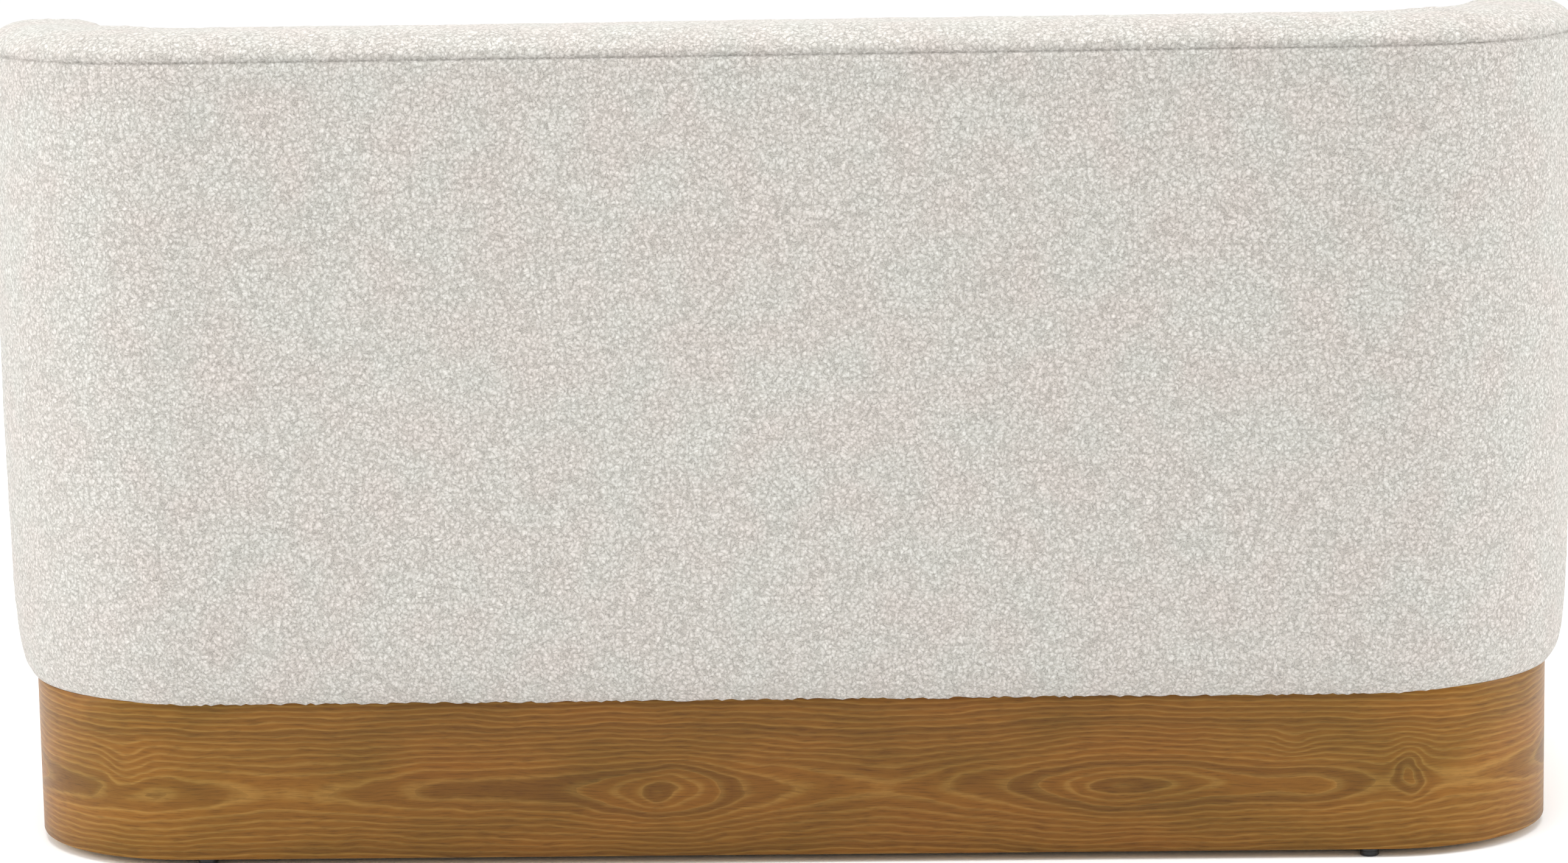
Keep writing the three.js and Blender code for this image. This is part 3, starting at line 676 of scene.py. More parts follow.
def cushion_mesh():
    """Top panel, boxed border and bottom panel as one closed mesh, with how far each point is from
    a seam and whether the cloth is held there."""
    x, y, from_edge = cushion_plan()
    rows, columns = x.shape
    border = [(0, c) for c in range(columns)] + [(r, columns - 1) for r in range(1, rows)]
    border += [(rows - 1, c) for c in range(columns - 2, -1, -1)] + [(r, 0) for r in range(rows - 2, 0, -1)]
    top_x, top_y = drawn_in(x, y, SEAM_INSET)
    top = np.stack([top_x, top_y, BORDER_TOP + TOP_RISE * rounding(from_edge, TOP_REACH)], -1)
    bottom = np.stack([top_x, top_y, BORDER_BOTTOM - BOTTOM_FALL * rounding(from_edge, BOTTOM_REACH)], -1)
    points = [top.reshape(-1, 3), bottom.reshape(-1, 3)]
    count = rows * columns
    ids = np.arange(count).reshape(rows, columns)
    faces = quads(ids) + quads(ids + count, turned=True)
    loops = [[int(ids[r, c]) for r, c in border]]
    depth = BORDER_TOP - BORDER_BOTTOM
    drops = SEAM_ROWS + np.linspace(OPEN_ROW, depth - OPEN_ROW, 9).tolist()
    drops += [depth - drop for drop in SEAM_ROWS[::-1]]
    start = 2 * count
    seam_gap = [from_edge.reshape(-1), from_edge.reshape(-1)]
    for drop in drops:
        near = min(drop, depth - drop)
        inset = SEAM_INSET * (1 - rounding(np.array(near), BORDER_REACH))
        ring_x = np.array([x[r, c] for r, c in border])
        ring_y = np.array([y[r, c] for r, c in border])
        ring_x, ring_y = drawn_in(ring_x, ring_y, float(inset))
        points.append(np.column_stack([ring_x, ring_y, np.full(len(border), BORDER_TOP - drop)]))
        loops.append(list(range(start, start + len(border))))
        start += len(border)
        seam_gap.append(np.full(len(border), near))
    loops.append([int(ids[r, c]) + count for r, c in border])
    for upper, below in zip(loops, loops[1:]):
        for this in range(len(border)):
            after = (this + 1) % len(border)
            faces.append([upper[after], upper[this], below[this], below[after]])
    held = np.zeros(start)
    held[count:2 * count] = 1
    seam_gap = np.concatenate(seam_gap)
    held[seam_gap < 0.5] = 1
    return np.concatenate(points), faces, seam_gap, held


def inflate(points, faces, held):
    """The points after the cloth has been blown out by pressure, each moved at most a little."""
    mesh = bpy.data.meshes.new("cushion_cloth")
    mesh.from_pydata((points * MM).tolist(), [], faces)
    cloth = bpy.data.objects.new("cushion_cloth", mesh)
    bpy.context.scene.collection.objects.link(cloth)
    group = cloth.vertex_groups.new(name="held")
    group.add([int(i) for i in np.nonzero(held)[0]], 1.0, "REPLACE")
    settings = cloth.modifiers.new("cloth", "CLOTH").settings
    settings.quality = 4
    settings.mass = 0.3
    settings.use_pressure = True
    settings.uniform_pressure_force = 4
    settings.vertex_group_mass = "held"
    settings.effector_weights.gravity = 0
    for number in range(1, 21):
        bpy.context.scene.frame_set(number)
    shown = cloth.evaluated_get(bpy.context.evaluated_depsgraph_get())
    blown = np.zeros(len(points) * 3)
    shown.data.vertices.foreach_get("co", blown)
    bpy.data.objects.remove(cloth)
    bpy.context.scene.frame_set(1)
    moved = blown.reshape(-1, 3) / MM - points
    size = np.linalg.norm(moved, axis=1, keepdims=True)
    return points + moved * np.tanh(size / FOAM_CROWN) * FOAM_CROWN / np.maximum(size, 1e-6)


def smooth_once(piece):
    """One subdivision, applied."""
    piece.modifiers.new("smooth", "SUBSURF").levels = 1
    shown = piece.evaluated_get(bpy.context.evaluated_depsgraph_get())
    finer = bpy.data.meshes.new_from_object(shown)
    piece.modifiers.clear()
    piece.data = finer
    return finer


def add_seat_cushion(boucle):
    """The loose bench cushion: blown out as cloth, then finished with its seams and small hills."""
    points, faces, seam_gap, held = cushion_mesh()
    points = inflate(points, faces, held)
    piece = make_piece("seat_pad", points, faces, boucle, "seat_cushion", ["seat_cushion"])
    gap = piece.data.attributes.new("seam_gap", "FLOAT", "POINT")
    gap.data.foreach_set("value", seam_gap.astype(np.float32))
    mesh = smooth_once(piece)
    count = len(mesh.vertices)
    place, normal, near = np.zeros(count * 3), np.zeros(count * 3), np.zeros(count)
    mesh.vertices.foreach_get("co", place)
    mesh.vertices.foreach_get("normal", normal)
    mesh.attributes["seam_gap"].data.foreach_get("value", near)
    place, normal = place.reshape(-1, 3) / MM, normal.reshape(-1, 3)
    swell = cloth_swell(place) + seam_profile(near)
    place = place + normal * swell[:, None]
    place[:, 2] = np.clip(place[:, 2], DECK_HEIGHT + 0.8, None)
    limit = seat_high[0] + 2.5
    place[:, 0] = np.clip(place[:, 0], -limit, limit)
    place[:, 1] = np.clip(place[:, 1], seat_low[1] - 4, seat_high[1] - 0.4)
    mesh.vertices.foreach_set("co", (place * MM).ravel())
    mesh.attributes.remove(mesh.attributes["seam_gap"])
    mesh.update()
    mesh.shade_smooth()
    return piece


# ---- Zip ----

def rounded_box(low, high, edge, steps=3):
    """Points and faces of a box with rounded edges."""
    low, high = np.array(low, float), np.array(high, float)
    size = (high - low) / 2
    edge = min(edge, size.min() * 0.98)
    side = np.tan(np.linspace(-math.pi / 4, math.pi / 4, 2 * steps + 1))
    points, faces = [], []
    for axis in range(3):
        for sign in (-1, 1):
            first = len(points)
            a, b = (axis + 1) % 3, (axis + 2) % 3
            for u in side:
                for v in side:
                    unit = np.zeros(3)
                    unit[axis], unit[a], unit[b] = sign, u, v
                    inner = np.sign(unit) * (size - edge)
                    unit /= np.linalg.norm(unit)
                    points.append((low + high) / 2 + inner + unit * edge)
            count = len(side)
            for row in range(count - 1):
                for column in range(count - 1):
                    corner = first + row * count + column
                    quad = [corner, corner + count, corner + count + 1, corner + 1]
                    faces.append(quad if sign > 0 else quad[::-1])
    return np.array(points), faces


def welded(parts):
    """Several sets of points and faces as one, with points that coincide made one."""
    points, faces, start = [], [], 0
    for part_points, part_faces in parts:
        points.append(part_points)
        faces += [[index + start for index in face] for face in part_faces]
        start += len(part_points)
    points = np.concatenate(points)
    _, first, inverse = np.unique(np.round(points, 4), axis=0, return_index=True, return_inverse=True)
    inverse = inverse.reshape(-1)
    faces = [[int(inverse[index]) for index in face] for face in faces]
    faces = [face for face in faces if len(set(face)) == len(face)]
    return points[first], faces


def add_zip(tape_cloth, plastic, steel):
    """The zip along the cushion's back edge: its tape, its coil of teeth and its slider."""
    points, faces = welded([rounded_box(zip_low, (zip_high[0], zip_low[1] + 0.7, zip_high[2]), 0.3)])
    tape = make_piece("zip_tape", points, faces, tape_cloth, "seat_cushion",
                      ["cushion_zip"])
    middle = (zip_low[2] + zip_high[2]) / 2
    teeth = []
    for number in range(int((zip_high[0] - zip_low[0] - 8) / TOOTH_PITCH)):
        x = zip_low[0] + 6 + number * TOOTH_PITCH
        shift = 1.1 if number % 2 else -1.1
        low = (x - 1.4, zip_low[1] + 0.5, middle - 2.6 + shift)
        high = (x + 1.4, zip_high[1] - 0.05, middle + 2.6 + shift)
        teeth.append(rounded_box(low, high, 0.35, 1))
    points, faces = welded(teeth)
    make_piece("zip_teeth", points, faces, plastic, "seat_cushion")
    x = (slider_low[0] + slider_high[0]) / 2
    near, far = slider_low[1], slider_high[1]
    parts = [
        rounded_box((x - 6, near, middle - 5), (x + 6, near + 1.0, middle + 5), 0.45),
        rounded_box((x - 1.6, near + 0.8, middle - 2.4), (x + 1.6, far - 0.1, middle + 3.4), 0.6),
        rounded_box((x - 2.4, near + 1.0, middle - 7), (x + 2.4, near + 1.7, middle - 1), 0.3),
        rounded_box((x - 2.4, near + 0.9, middle - 22.6), (x - 0.9, near + 1.7, middle - 6), 0.3),
        rounded_box((x + 0.9, near + 0.9, middle - 22.6), (x + 2.4, near + 1.7, middle - 6), 0.3),
        rounded_box((x - 2.4, near + 0.9, middle - 22.9), (x + 2.4, near + 1.7, middle - 19.5), 0.3),
    ]
    points, faces = welded(parts)
    make_piece("zip_pull", points, faces, steel, "zip_slider", ["cushion_zip_slider"])


# ---- Plinth and glides ----

def plinth_loop(inset):
    """The plinth's plan at an inset, as a closed line that starts at the middle of the front."""
    half_x, half_y, radius = PLINTH_X - inset, PLINTH_Y - inset, PLINTH_CORNER - inset
    centre_x, centre_y = half_x - radius, half_y - radius
    corners = 40
    line = [np.linspace((0, -half_y), (centre_x, -half_y), 40)[:-1]]
    for x, y, start in ((centre_x, -centre_y, -90), (centre_x, centre_y, 0),
                        (-centre_x, centre_y, 90), (-centre_x, -centre_y, 180)):
        angles = np.radians(np.linspace(start, start + 90, corners))
        line.append(np.stack([x + radius * np.cos(angles), y + radius * np.sin(angles)], 1))
    line.append(np.linspace((-centre_x, -half_y), (0, -half_y), 40)[1:-1])
    straight_side = np.linspace((half_x, -centre_y), (half_x, centre_y), 30)[1:-1]
    straight_back = np.linspace((centre_x, half_y), (-centre_x, half_y), 80)[1:-1]
    line.insert(2, straight_side)
    line.insert(4, straight_back)
    line.insert(6, straight_side[::-1] * (-1, 1))
    return np.concatenate(line)


def add_veneer(veneer):
    """The bent veneer ring, with the place of each point on the unrolled leaf kept for its grain."""
    section = [(EDGE_ROUND, PLINTH_BOTTOM), (0.25, PLINTH_BOTTOM + 0.25), (0, PLINTH_BOTTOM + EDGE_ROUND)]
    section += [(0, z) for z in np.linspace(PLINTH_BOTTOM + 12, PLINTH_TOP - 12, 9)]
    section += [(0, PLINTH_TOP - EDGE_ROUND), (0.25, PLINTH_TOP - 0.25), (EDGE_ROUND, PLINTH_TOP)]
    section += [(VENEER, PLINTH_TOP), (VENEER, PLINTH_BOTTOM)]
    loops = [np.column_stack([plinth_loop(inset), np.full(len(plinth_loop(0)), z)]) for inset, z in section]
    count = len(loops[0])
    faces = []
    for row in range(len(section)):
        after = (row + 1) % len(section)
        for start in range(count):
            end = (start + 1) % count
            low, high = row * count, after * count
            faces.append([low + start, low + end, high + end, high + start])
    piece = make_piece("plinth_face", np.concatenate(loops), faces, veneer, "sofa_frame",
                       ["plinth_veneer"], 35)
    outline = loops[2][:, :2]
    steps = np.linalg.norm(np.roll(outline, -1, 0) - outline, axis=1)
    along = np.concatenate([[0], np.cumsum(steps)[:-1]])
    around = steps.sum()
    from_back = around / 2 - along  # 0 at the middle of the back, positive on the right
    quarter = around / 4
    past_quarter = np.sign(from_back) * (2 * quarter - np.abs(from_back))  # the leaf is mirrored there
    leaf = np.where(np.abs(from_back) > quarter, past_quarter, from_back)
    unrolled = np.concatenate([np.column_stack([leaf, loop[:, 2], np.zeros(count)]) for loop in loops])
    place = piece.data.attributes.new("unrolled", "FLOAT_VECTOR", "POINT")
    place.data.foreach_set("vector", (unrolled * MM).astype(np.float32).ravel())
    return piece


def lathe(profile, x, y, steps=40):
    """A turned solid from (radius, height) points that starts and ends on its axis."""
    rings = profile[1:-1]
    points = [(x, y, profile[0][1])]
    for radius, z in rings:
        for step in range(steps):
            angle = 2 * math.pi * step / steps
            points.append((x + radius * math.cos(angle), y + radius * math.sin(angle), z))
    points.append((x, y, profile[-1][1]))
    faces = []
    for step in range(steps):
        after = (step + 1) % steps
        faces.append([0, 1 + after, 1 + step])
        for ring in range(len(rings) - 1):
            a, b = 1 + ring * steps, 1 + (ring + 1) * steps
            faces.append([a + step, a + after, b + after, b + step])
        last = 1 + (len(rings) - 1) * steps
        faces.append([len(points) - 1, last + step, last + after])
    return np.array(points), faces


def add_glides(plastic):
    """Black nail-on glides with a rounded rim, a shallow dish in the sole and a moulded line."""
    for node in [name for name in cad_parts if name.startswith("glide_")]:
        low, high = box_mm(node)
        x, y = (low[0] + high[0]) / 2, (low[1] + high[1]) / 2
        top = PLINTH_BOTTOM - 0.3
        profile = [(0, 0.5), (4.5, 0.4), (6.2, 0.0), (7.2, 0.1), (8.1, 0.5), (8.7, 1.2), (9.0, 2.2),
                   (9.0, 4.6), (8.75, 4.8), (8.75, 5.1), (9.0, 5.3), (9.0, top - 0.4), (8.6, top),
                   (1.2, top), (1.2, high[2]), (0, high[2])]
        points, faces = lathe(profile, x, y)
        make_piece(node.replace("glide", "foot"), points, faces, plastic, "sofa_frame",
                   [node], 35)


# ---- Materials ----

def linear(code):
    """A six-figure sRGB hex colour as linear red, green, blue and alpha."""
    parts = [int(code[start:start + 2], 16) / 255 for start in (0, 2, 4)]
    return [c / 12.92 if c <= 0.04045 else ((c + 0.055) / 1.055) ** 2.4 for c in parts] + [1.0]


def add_node(tree, kind, inputs=(), out=0, stops=(), **settings):
    """Adds a node with its settings, its colour stops as (place, hex colour), and what goes into its
    sockets, and gives one of its outputs."""
    made = tree.nodes.new("ShaderNode" + kind)
    for name, value in settings.items():
        setattr(made, name, value)
    for number, (position, code) in enumerate(stops):
        elements = made.color_ramp.elements
        while len(elements) < len(stops):
            elements.new(0.5)
        elements[number].position = position
        elements[number].color = linear(code)
    for socket, value in dict(inputs).items():
        if isinstance(value, bpy.types.NodeSocket):
            tree.links.new(value, made.inputs[socket])
        else:
            made.inputs[socket].default_value = value
    return made.outputs[out]


def new_material(name, **values):
    """A material with its shader's own values set. Gives it and its nodes."""
    material = bpy.data.materials.new(name)
    material.use_nodes = True
    shader = material.node_tree.nodes["Principled BSDF"]
    for socket, value in values.items():
        shader.inputs[socket.replace("_", " ")].default_value = value
    return material, material.node_tree


def link_surface(tree, **outputs):
    """Links outputs to the sockets of a material's shader."""
    shader = tree.nodes["Principled BSDF"]
    for socket, output in outputs.items():
        tree.links.new(output, shader.inputs[socket.replace("_", " ")])


def boucle_cloth():
    """Cream boucle, woven from a looped wool and acrylic yarn: pale round nubs, their tops painted lighter
    as painted highlight, over hollows painted darker as painted shade, no gloss, and a soft bright edge
    from the raised fibres."""
    material, tree = new_material(
        "cream_boucle", Roughness=0.95, Sheen_Weight=0.25, Sheen_Roughness=0.55, Specular_IOR_Level=0.15)
    place = add_node(tree, "TexCoord", out="Object")
    wander = add_node(tree, "TexNoise", {"Vector": place, "Scale": 1 / (8 * MM), "Detail": 1.0},
                      out="Color")
    shift = add_node(tree, "VectorMath", {0: wander, 1: (0.5, 0.5, 0.5)}, operation="SUBTRACT")
    shift = add_node(tree, "VectorMath", {0: shift, "Scale": 6 * MM}, operation="SCALE")
    bent = add_node(tree, "VectorMath", {0: place, 1: shift}, operation="ADD")
    nubs = add_node(tree, "TexVoronoi", {"Vector": bent, "Scale": 1 / (LOOP_CELL * MM), "Smoothness": 0.25},
                    out="Distance", feature="SMOOTH_F1")
    curls = add_node(tree, "TexNoise", {"Vector": bent, "Scale": 1 / (YARN * MM), "Detail": 2.0,
                                        "Distortion": 0.8}, out="Fac")
    worm = add_node(tree, "Math", {0: curls, 1: 0.5}, operation="SUBTRACT")
    worm = add_node(tree, "Math", {0: worm}, operation="ABSOLUTE")
    worm = add_node(tree, "MapRange", {"Value": worm, "From Min": 0.0, "From Max": 0.16,
                                       "To Min": 1.0, "To Max": 0.0})
    nub = add_node(tree, "MapRange", {"Value": nubs, "From Min": 0.12, "From Max": 0.72,
                                      "To Min": 1.0, "To Max": 0.0}, interpolation_type="SMOOTHSTEP")
    height = add_node(tree, "Math", {0: nub, 1: 0.62}, operation="MULTIPLY")
    height = add_node(tree, "Math", {0: worm, 1: 0.38, 2: height}, operation="MULTIPLY_ADD")
    # The colour follows the height of the loops: painted shade darkens the hollows and a painted highlight
    # lightens the nub tops.
    colour = add_node(tree, "ValToRGB", {"Fac": height},
                      stops=[(0.0, "9B9893"), (0.3, "C0BDB8"), (0.6, "CFCCC8"), (1.0, "E4E2DF")])
    tint = add_node(tree, "TexNoise", {"Vector": place, "Scale": 1 / (55 * MM), "Detail": 1.0}, out="Fac")
    tone = add_node(tree, "ValToRGB", {"Fac": tint},
                    stops=[(0.3, "F9FAF7"), (0.5, "FAF8F5"), (0.7, "FBF6F3")])
    colour = add_node(tree, "Mix", {0: 1.0, 6: colour, 7: tone}, out=2, data_type="RGBA",
                      blend_type="MULTIPLY")
    bump = add_node(tree, "Bump", {"Height": height, "Strength": 0.8, "Distance": 1.6 * MM})
    link_surface(tree, Base_Color=colour, Normal=bump)
    return material


def per_metre(sizes):
    """The scale that gives a pattern on the veneer's leaf these sizes along and up."""
    return 1 / (sizes[0] * MM), 1 / (sizes[1] * MM), 0


def growth_rings(tree, bent, ripple):
    """How many rings each place lies from the heart of the log, and its place along the leaf."""
    split = add_node(tree, "SeparateXYZ", {0: bent})
    along, up = split, split.node.outputs[1]
    depth = LEAF_DEPTH * MM
    for centre, reach, dip in LEAF_DIPS:
        offset = add_node(tree, "Math", {0: along, 1: centre * MM}, operation="SUBTRACT")
        offset = add_node(tree, "Math", {0: offset, 1: 1 / (reach * MM)}, operation="MULTIPLY")
        square = add_node(tree, "Math", {0: offset, 1: offset}, operation="MULTIPLY")
        bell = add_node(tree, "Math", {0: 1.0, 1: square}, operation="ADD")
        bell = add_node(tree, "Math", {0: -dip * MM, 1: bell}, operation="DIVIDE")
        depth = add_node(tree, "Math", {0: depth, 1: bell}, operation="ADD")
    rise = add_node(tree, "Math", {0: up, 1: LEAF_CENTRE * MM}, operation="SUBTRACT")
    away = add_node(tree, "CombineXYZ", {0: rise, 1: depth})
    ring = add_node(tree, "VectorMath", {0: away}, out="Value", operation="LENGTH")
    ring = add_node(tree, "Math", {0: ring, 1: 1 / (RING * MM)}, operation="MULTIPLY")
    ring = add_node(tree, "Math", {0: ripple, 1: 0.5, 2: ring}, operation="MULTIPLY_ADD")
    for centre, height, reach, tall, strength in SWIRLS:
        offset = add_node(tree, "VectorMath", {0: bent, 1: (centre * MM, height * MM, 0)},
                          operation="SUBTRACT")
        offset = add_node(tree, "VectorMath", {0: offset, 1: (1 / (reach * MM), 1 / (tall * MM), 0)},
                          operation="MULTIPLY")
        square = add_node(tree, "VectorMath", {0: offset, 1: offset}, out="Value", operation="DOT_PRODUCT")
        fade = add_node(tree, "Math", {0: square, 1: -1.0}, operation="MULTIPLY")
        fade = add_node(tree, "Math", {0: fade}, operation="EXPONENT")
        ring = add_node(tree, "Math", {0: fade, 1: strength, 2: ring}, operation="MULTIPLY_ADD")
    return ring, along


def ash_veneer():
    """Ash veneer, flat-cut and stained honey brown under a satin lacquer: nested cathedral rings with
    pale late wood lines, dark open pores along the grain, and a soft wide gloss."""
    material, tree = new_material(
        "honey_ash_veneer", Roughness=0.5, Specular_IOR_Level=0.12, Coat_Weight=0.3, Coat_Roughness=0.28,
        Coat_IOR=1.35)
    place = add_node(tree, "Attribute", out="Vector", attribute_name="unrolled")
    wide = add_node(tree, "VectorMath", {0: place, 1: per_metre(WANDER)}, operation="MULTIPLY")
    wander = add_node(tree, "TexNoise", {"Vector": wide, "Scale": 1.0, "Detail": 2.0, "Roughness": 0.55},
                      out="Color")
    wander = add_node(tree, "VectorMath", {0: wander, 1: (0.5, 0.5, 0.5)}, operation="SUBTRACT")
    wander = add_node(tree, "VectorMath", {0: wander, 1: (46 * MM, 11 * MM, 0)}, operation="MULTIPLY")
    bent = add_node(tree, "VectorMath", {0: place, 1: wander}, operation="ADD")
    ripple = add_node(tree, "VectorMath", {0: place, 1: per_metre(RIPPLE)}, operation="MULTIPLY")
    ripple = add_node(tree, "TexNoise", {"Vector": ripple, "Scale": 1.0, "Detail": 3.0}, out="Fac")
    ring, along = growth_rings(tree, bent, ripple)
    part = add_node(tree, "Math", {0: ring}, operation="FRACT")
    whole = add_node(tree, "Math", {0: ring}, operation="FLOOR")
    tone = add_node(tree, "TexWhiteNoise", {"W": whole}, out="Value", noise_dimensions="1D")
    colour = add_node(tree, "ValToRGB", {"Fac": part},
                      stops=[(0.0, "9E7639"), (0.13, "9B7336"), (0.32, "8E6223"), (0.6, "875B1E"),
                             (0.86, "8E6223"), (1.0, "9E7639")])
    shade = add_node(tree, "ValToRGB", {"Fac": tone}, stops=[(0.0, "DEDBCE"), (1.0, "FFFBF4")])
    streak = add_node(tree, "VectorMath", {0: bent, 1: per_metre(FIBRES)}, operation="MULTIPLY")
    fibre = add_node(tree, "TexNoise", {"Vector": streak, "Scale": 1.0, "Detail": 3.0, "Roughness": 0.6},
                     out="Fac")
    fibre_tone = add_node(tree, "ValToRGB", {"Fac": fibre},
                          stops=[(0.28, "C4BEAE"), (0.5, "F1EFE8"), (0.72, "FFFFFF")])
    patch = add_node(tree, "VectorMath", {0: place, 1: per_metre(PATCH)}, operation="MULTIPLY")
    patch = add_node(tree, "TexNoise", {"Vector": patch, "Scale": 1.0, "Detail": 1.0}, out="Fac")
    patch = add_node(tree, "ValToRGB", {"Fac": patch},
                     stops=[(0.32, "E3E8D4"), (0.55, "FFFDFA"), (0.75, "FFF4EC")])
    # Darker over the middle of the back and lighter towards the rear corners: painted light, standing in
    # for the stronger light the corners catch from the sides.
    side = add_node(tree, "Math", {0: along}, operation="ABSOLUTE")
    side = add_node(tree, "MapRange", {"Value": side, "From Min": 300 * MM, "From Max": 680 * MM})
    painted_corner_light = add_node(tree, "ValToRGB", {"Fac": side},
                       stops=[(0.0, "E3DFD6"), (0.5, "EBECE6"), (1.0, "FFFFFF")])
    for share, layer in ((1.0, shade), (0.9, fibre_tone), (0.8, patch), (1.0, painted_corner_light)):
        colour = add_node(tree, "Mix", {0: share, 6: colour, 7: layer}, out=2, data_type="RGBA",
                          blend_type="MULTIPLY")
    gloss = add_node(tree, "MapRange", {"Value": fibre, "To Min": 0.58, "To Max": 0.42})
    relief = add_node(tree, "Math", {0: part, 1: 0.25, 2: fibre}, operation="MULTIPLY_ADD")
    bump = add_node(tree, "Bump", {"Height": relief, "Strength": 0.35, "Distance": 0.2 * MM})
    link_surface(tree, Base_Color=colour, Roughness=gloss, Normal=bump)
    return material


def plywood():
    """Birch plywood, sawn and unfinished: pale plies with darker glue lines where an edge shows, and a
    dry straight grain on its faces."""
    material, tree = new_material("birch_plywood", Roughness=0.7)
    place = add_node(tree, "TexCoord", out="Object")
    size = ((PLINTH_X - PLINTH_CORNER) * MM, (PLINTH_Y - PLINTH_CORNER) * MM, 0)
    outward = add_node(tree, "VectorMath", {0: place}, operation="ABSOLUTE")
    outward = add_node(tree, "VectorMath", {0: outward, 1: size}, operation="SUBTRACT")
    outward = add_node(tree, "VectorMath", {0: outward, 1: (0, 0, 0)}, operation="MAXIMUM")
    outward = add_node(tree, "VectorMath", {0: outward, 1: (1, 1, 0)}, operation="MULTIPLY")
    from_core = add_node(tree, "VectorMath", {0: outward}, out="Value", operation="LENGTH")
    plies = add_node(tree, "Math", {0: from_core, 1: 1 / (PLY * MM)}, operation="MULTIPLY")
    part = add_node(tree, "Math", {0: plies}, operation="FRACT")
    edge = add_node(tree, "ValToRGB", {"Fac": part},
                    stops=[(0.0, "8A6238"), (0.12, "D8BC8E"), (0.5, "C8A878"), (0.88, "D2B486")])
    streak = add_node(tree, "VectorMath", {0: place, 1: (12, 12, 260)}, operation="MULTIPLY")
    grain = add_node(tree, "TexNoise", {"Vector": streak, "Scale": 1.0, "Detail": 4.0}, out="Fac")
    face = add_node(tree, "ValToRGB", {"Fac": grain},
                    stops=[(0.3, "C29C66"), (0.5, "D3B080"), (0.7, "DDBF92")])
    colour = add_node(tree, "Mix", {0: 0.55, 6: face, 7: edge}, out=2, data_type="RGBA")
    bump = add_node(tree, "Bump", {"Height": grain, "Strength": 0.3, "Distance": 0.3 * MM})
    link_surface(tree, Base_Color=colour, Normal=bump)
    return material


def timber():
    """Kiln-dried poplar, planed: pale yellow-green wood with wide faint rings and no gloss."""
    material, tree = new_material("planed_poplar", Roughness=0.75)
    place = add_node(tree, "TexCoord", out="Object")
    stretch = add_node(tree, "VectorMath", {0: place, 1: (1, 1, 0.25)}, operation="MULTIPLY")
    rings = add_node(tree, "TexWave", {"Vector": stretch, "Scale": 1 / (22 * MM), "Distortion": 6.0,
                                       "Detail": 2.0}, out="Fac")
    streak = add_node(tree, "TexNoise", {"Vector": place, "Scale": 1 / (3 * MM), "Detail": 3.0}, out="Fac")
    mixed = add_node(tree, "Math", {0: streak, 1: 0.4, 2: rings}, operation="MULTIPLY_ADD")
    colour = add_node(tree, "ValToRGB", {"Fac": mixed},
                      stops=[(0.2, "B59B63"), (0.7, "CDB583"), (1.0, "D9C597")])
    bump = add_node(tree, "Bump", {"Height": mixed, "Strength": 0.25, "Distance": 0.3 * MM})
    link_surface(tree, Base_Color=colour, Normal=bump)
    return material


def seat_foam():
    """Cut polyurethane foam: cream, matt and pitted with open cells."""
    material, tree = new_material("cut_foam", Roughness=0.95)
    place = add_node(tree, "TexCoord", out="Object")
    cells = add_node(tree, "TexVoronoi", {"Vector": place, "Scale": 1 / (1.8 * MM)}, out="Distance")
    colour = add_node(tree, "ValToRGB", {"Fac": cells}, stops=[(0.0, "D9D0AC"), (0.5, "ECE6CD")])
    bump = add_node(tree, "Bump", {"Height": cells, "Strength": 0.6, "Distance": 0.5 * MM})
    link_surface(tree, Base_Color=colour, Normal=bump)
    return material


def felt_pad():
    """Needled felt made from mixed waste fibre: grey with flecks, matt and hairy."""
    material, tree = new_material("needled_felt", Roughness=1.0, Sheen_Weight=0.2)
    place = add_node(tree, "TexCoord", out="Object")
    fibres = add_node(tree, "TexNoise", {"Vector": place, "Scale": 1 / (1.5 * MM), "Detail": 4.0},
                      out="Fac")
    colour = add_node(tree, "ValToRGB", {"Fac": fibres},
                      stops=[(0.35, "6B6A67"), (0.5, "8D8C88"), (0.66, "B3B0AA")])
    bump = add_node(tree, "Bump", {"Height": fibres, "Strength": 0.5, "Distance": 0.6 * MM})
    link_surface(tree, Base_Color=colour, Normal=bump)
    return material


def black_lining():
    """Black polypropylene cloth, for the dust cover and the zip tape: a flat weave of dull threads."""
    material, tree = new_material("black_woven_lining", Roughness=0.85)
    place = add_node(tree, "TexCoord", out="Object")
    lengthways = add_node(tree, "TexWave", {"Vector": place, "Scale": WEAVE / (THREAD * MM)}, out="Fac",
                          bands_direction="X")
    crossways = add_node(tree, "TexWave", {"Vector": place, "Scale": WEAVE / (THREAD * MM)}, out="Fac",
                         bands_direction="Y")
    weave = add_node(tree, "Math", {0: lengthways, 1: crossways}, operation="MULTIPLY")
    colour = add_node(tree, "ValToRGB", {"Fac": weave}, stops=[(0.0, "0D0D0E"), (1.0, "26262A")])
    bump = add_node(tree, "Bump", {"Height": weave, "Strength": 0.4, "Distance": 0.3 * MM})
    link_surface(tree, Base_Color=colour, Normal=bump)
    return material


def spring_steel():
    """Bright zinc-plated steel, for the springs, the screws and the zip slider: grey metal with fine
    drawing lines and a faint haze."""
    material, tree = new_material("zinc_plated_steel", Metallic=1.0, Roughness=0.35)
    place = add_node(tree, "TexCoord", out="Object")
    haze = add_node(tree, "TexNoise", {"Vector": place, "Scale": 1 / (2.5 * MM), "Detail": 3.0}, out="Fac")
    colour = add_node(tree, "ValToRGB", {"Fac": haze}, stops=[(0.3, "8E9194"), (0.7, "B4B7BA")])
    rough = add_node(tree, "MapRange", {"Value": haze, "To Min": 0.25, "To Max": 0.45})
    bump = add_node(tree, "Bump", {"Height": haze, "Strength": 0.15, "Distance": 0.1 * MM})
    link_surface(tree, Base_Color=colour, Roughness=rough, Normal=bump)
    return material


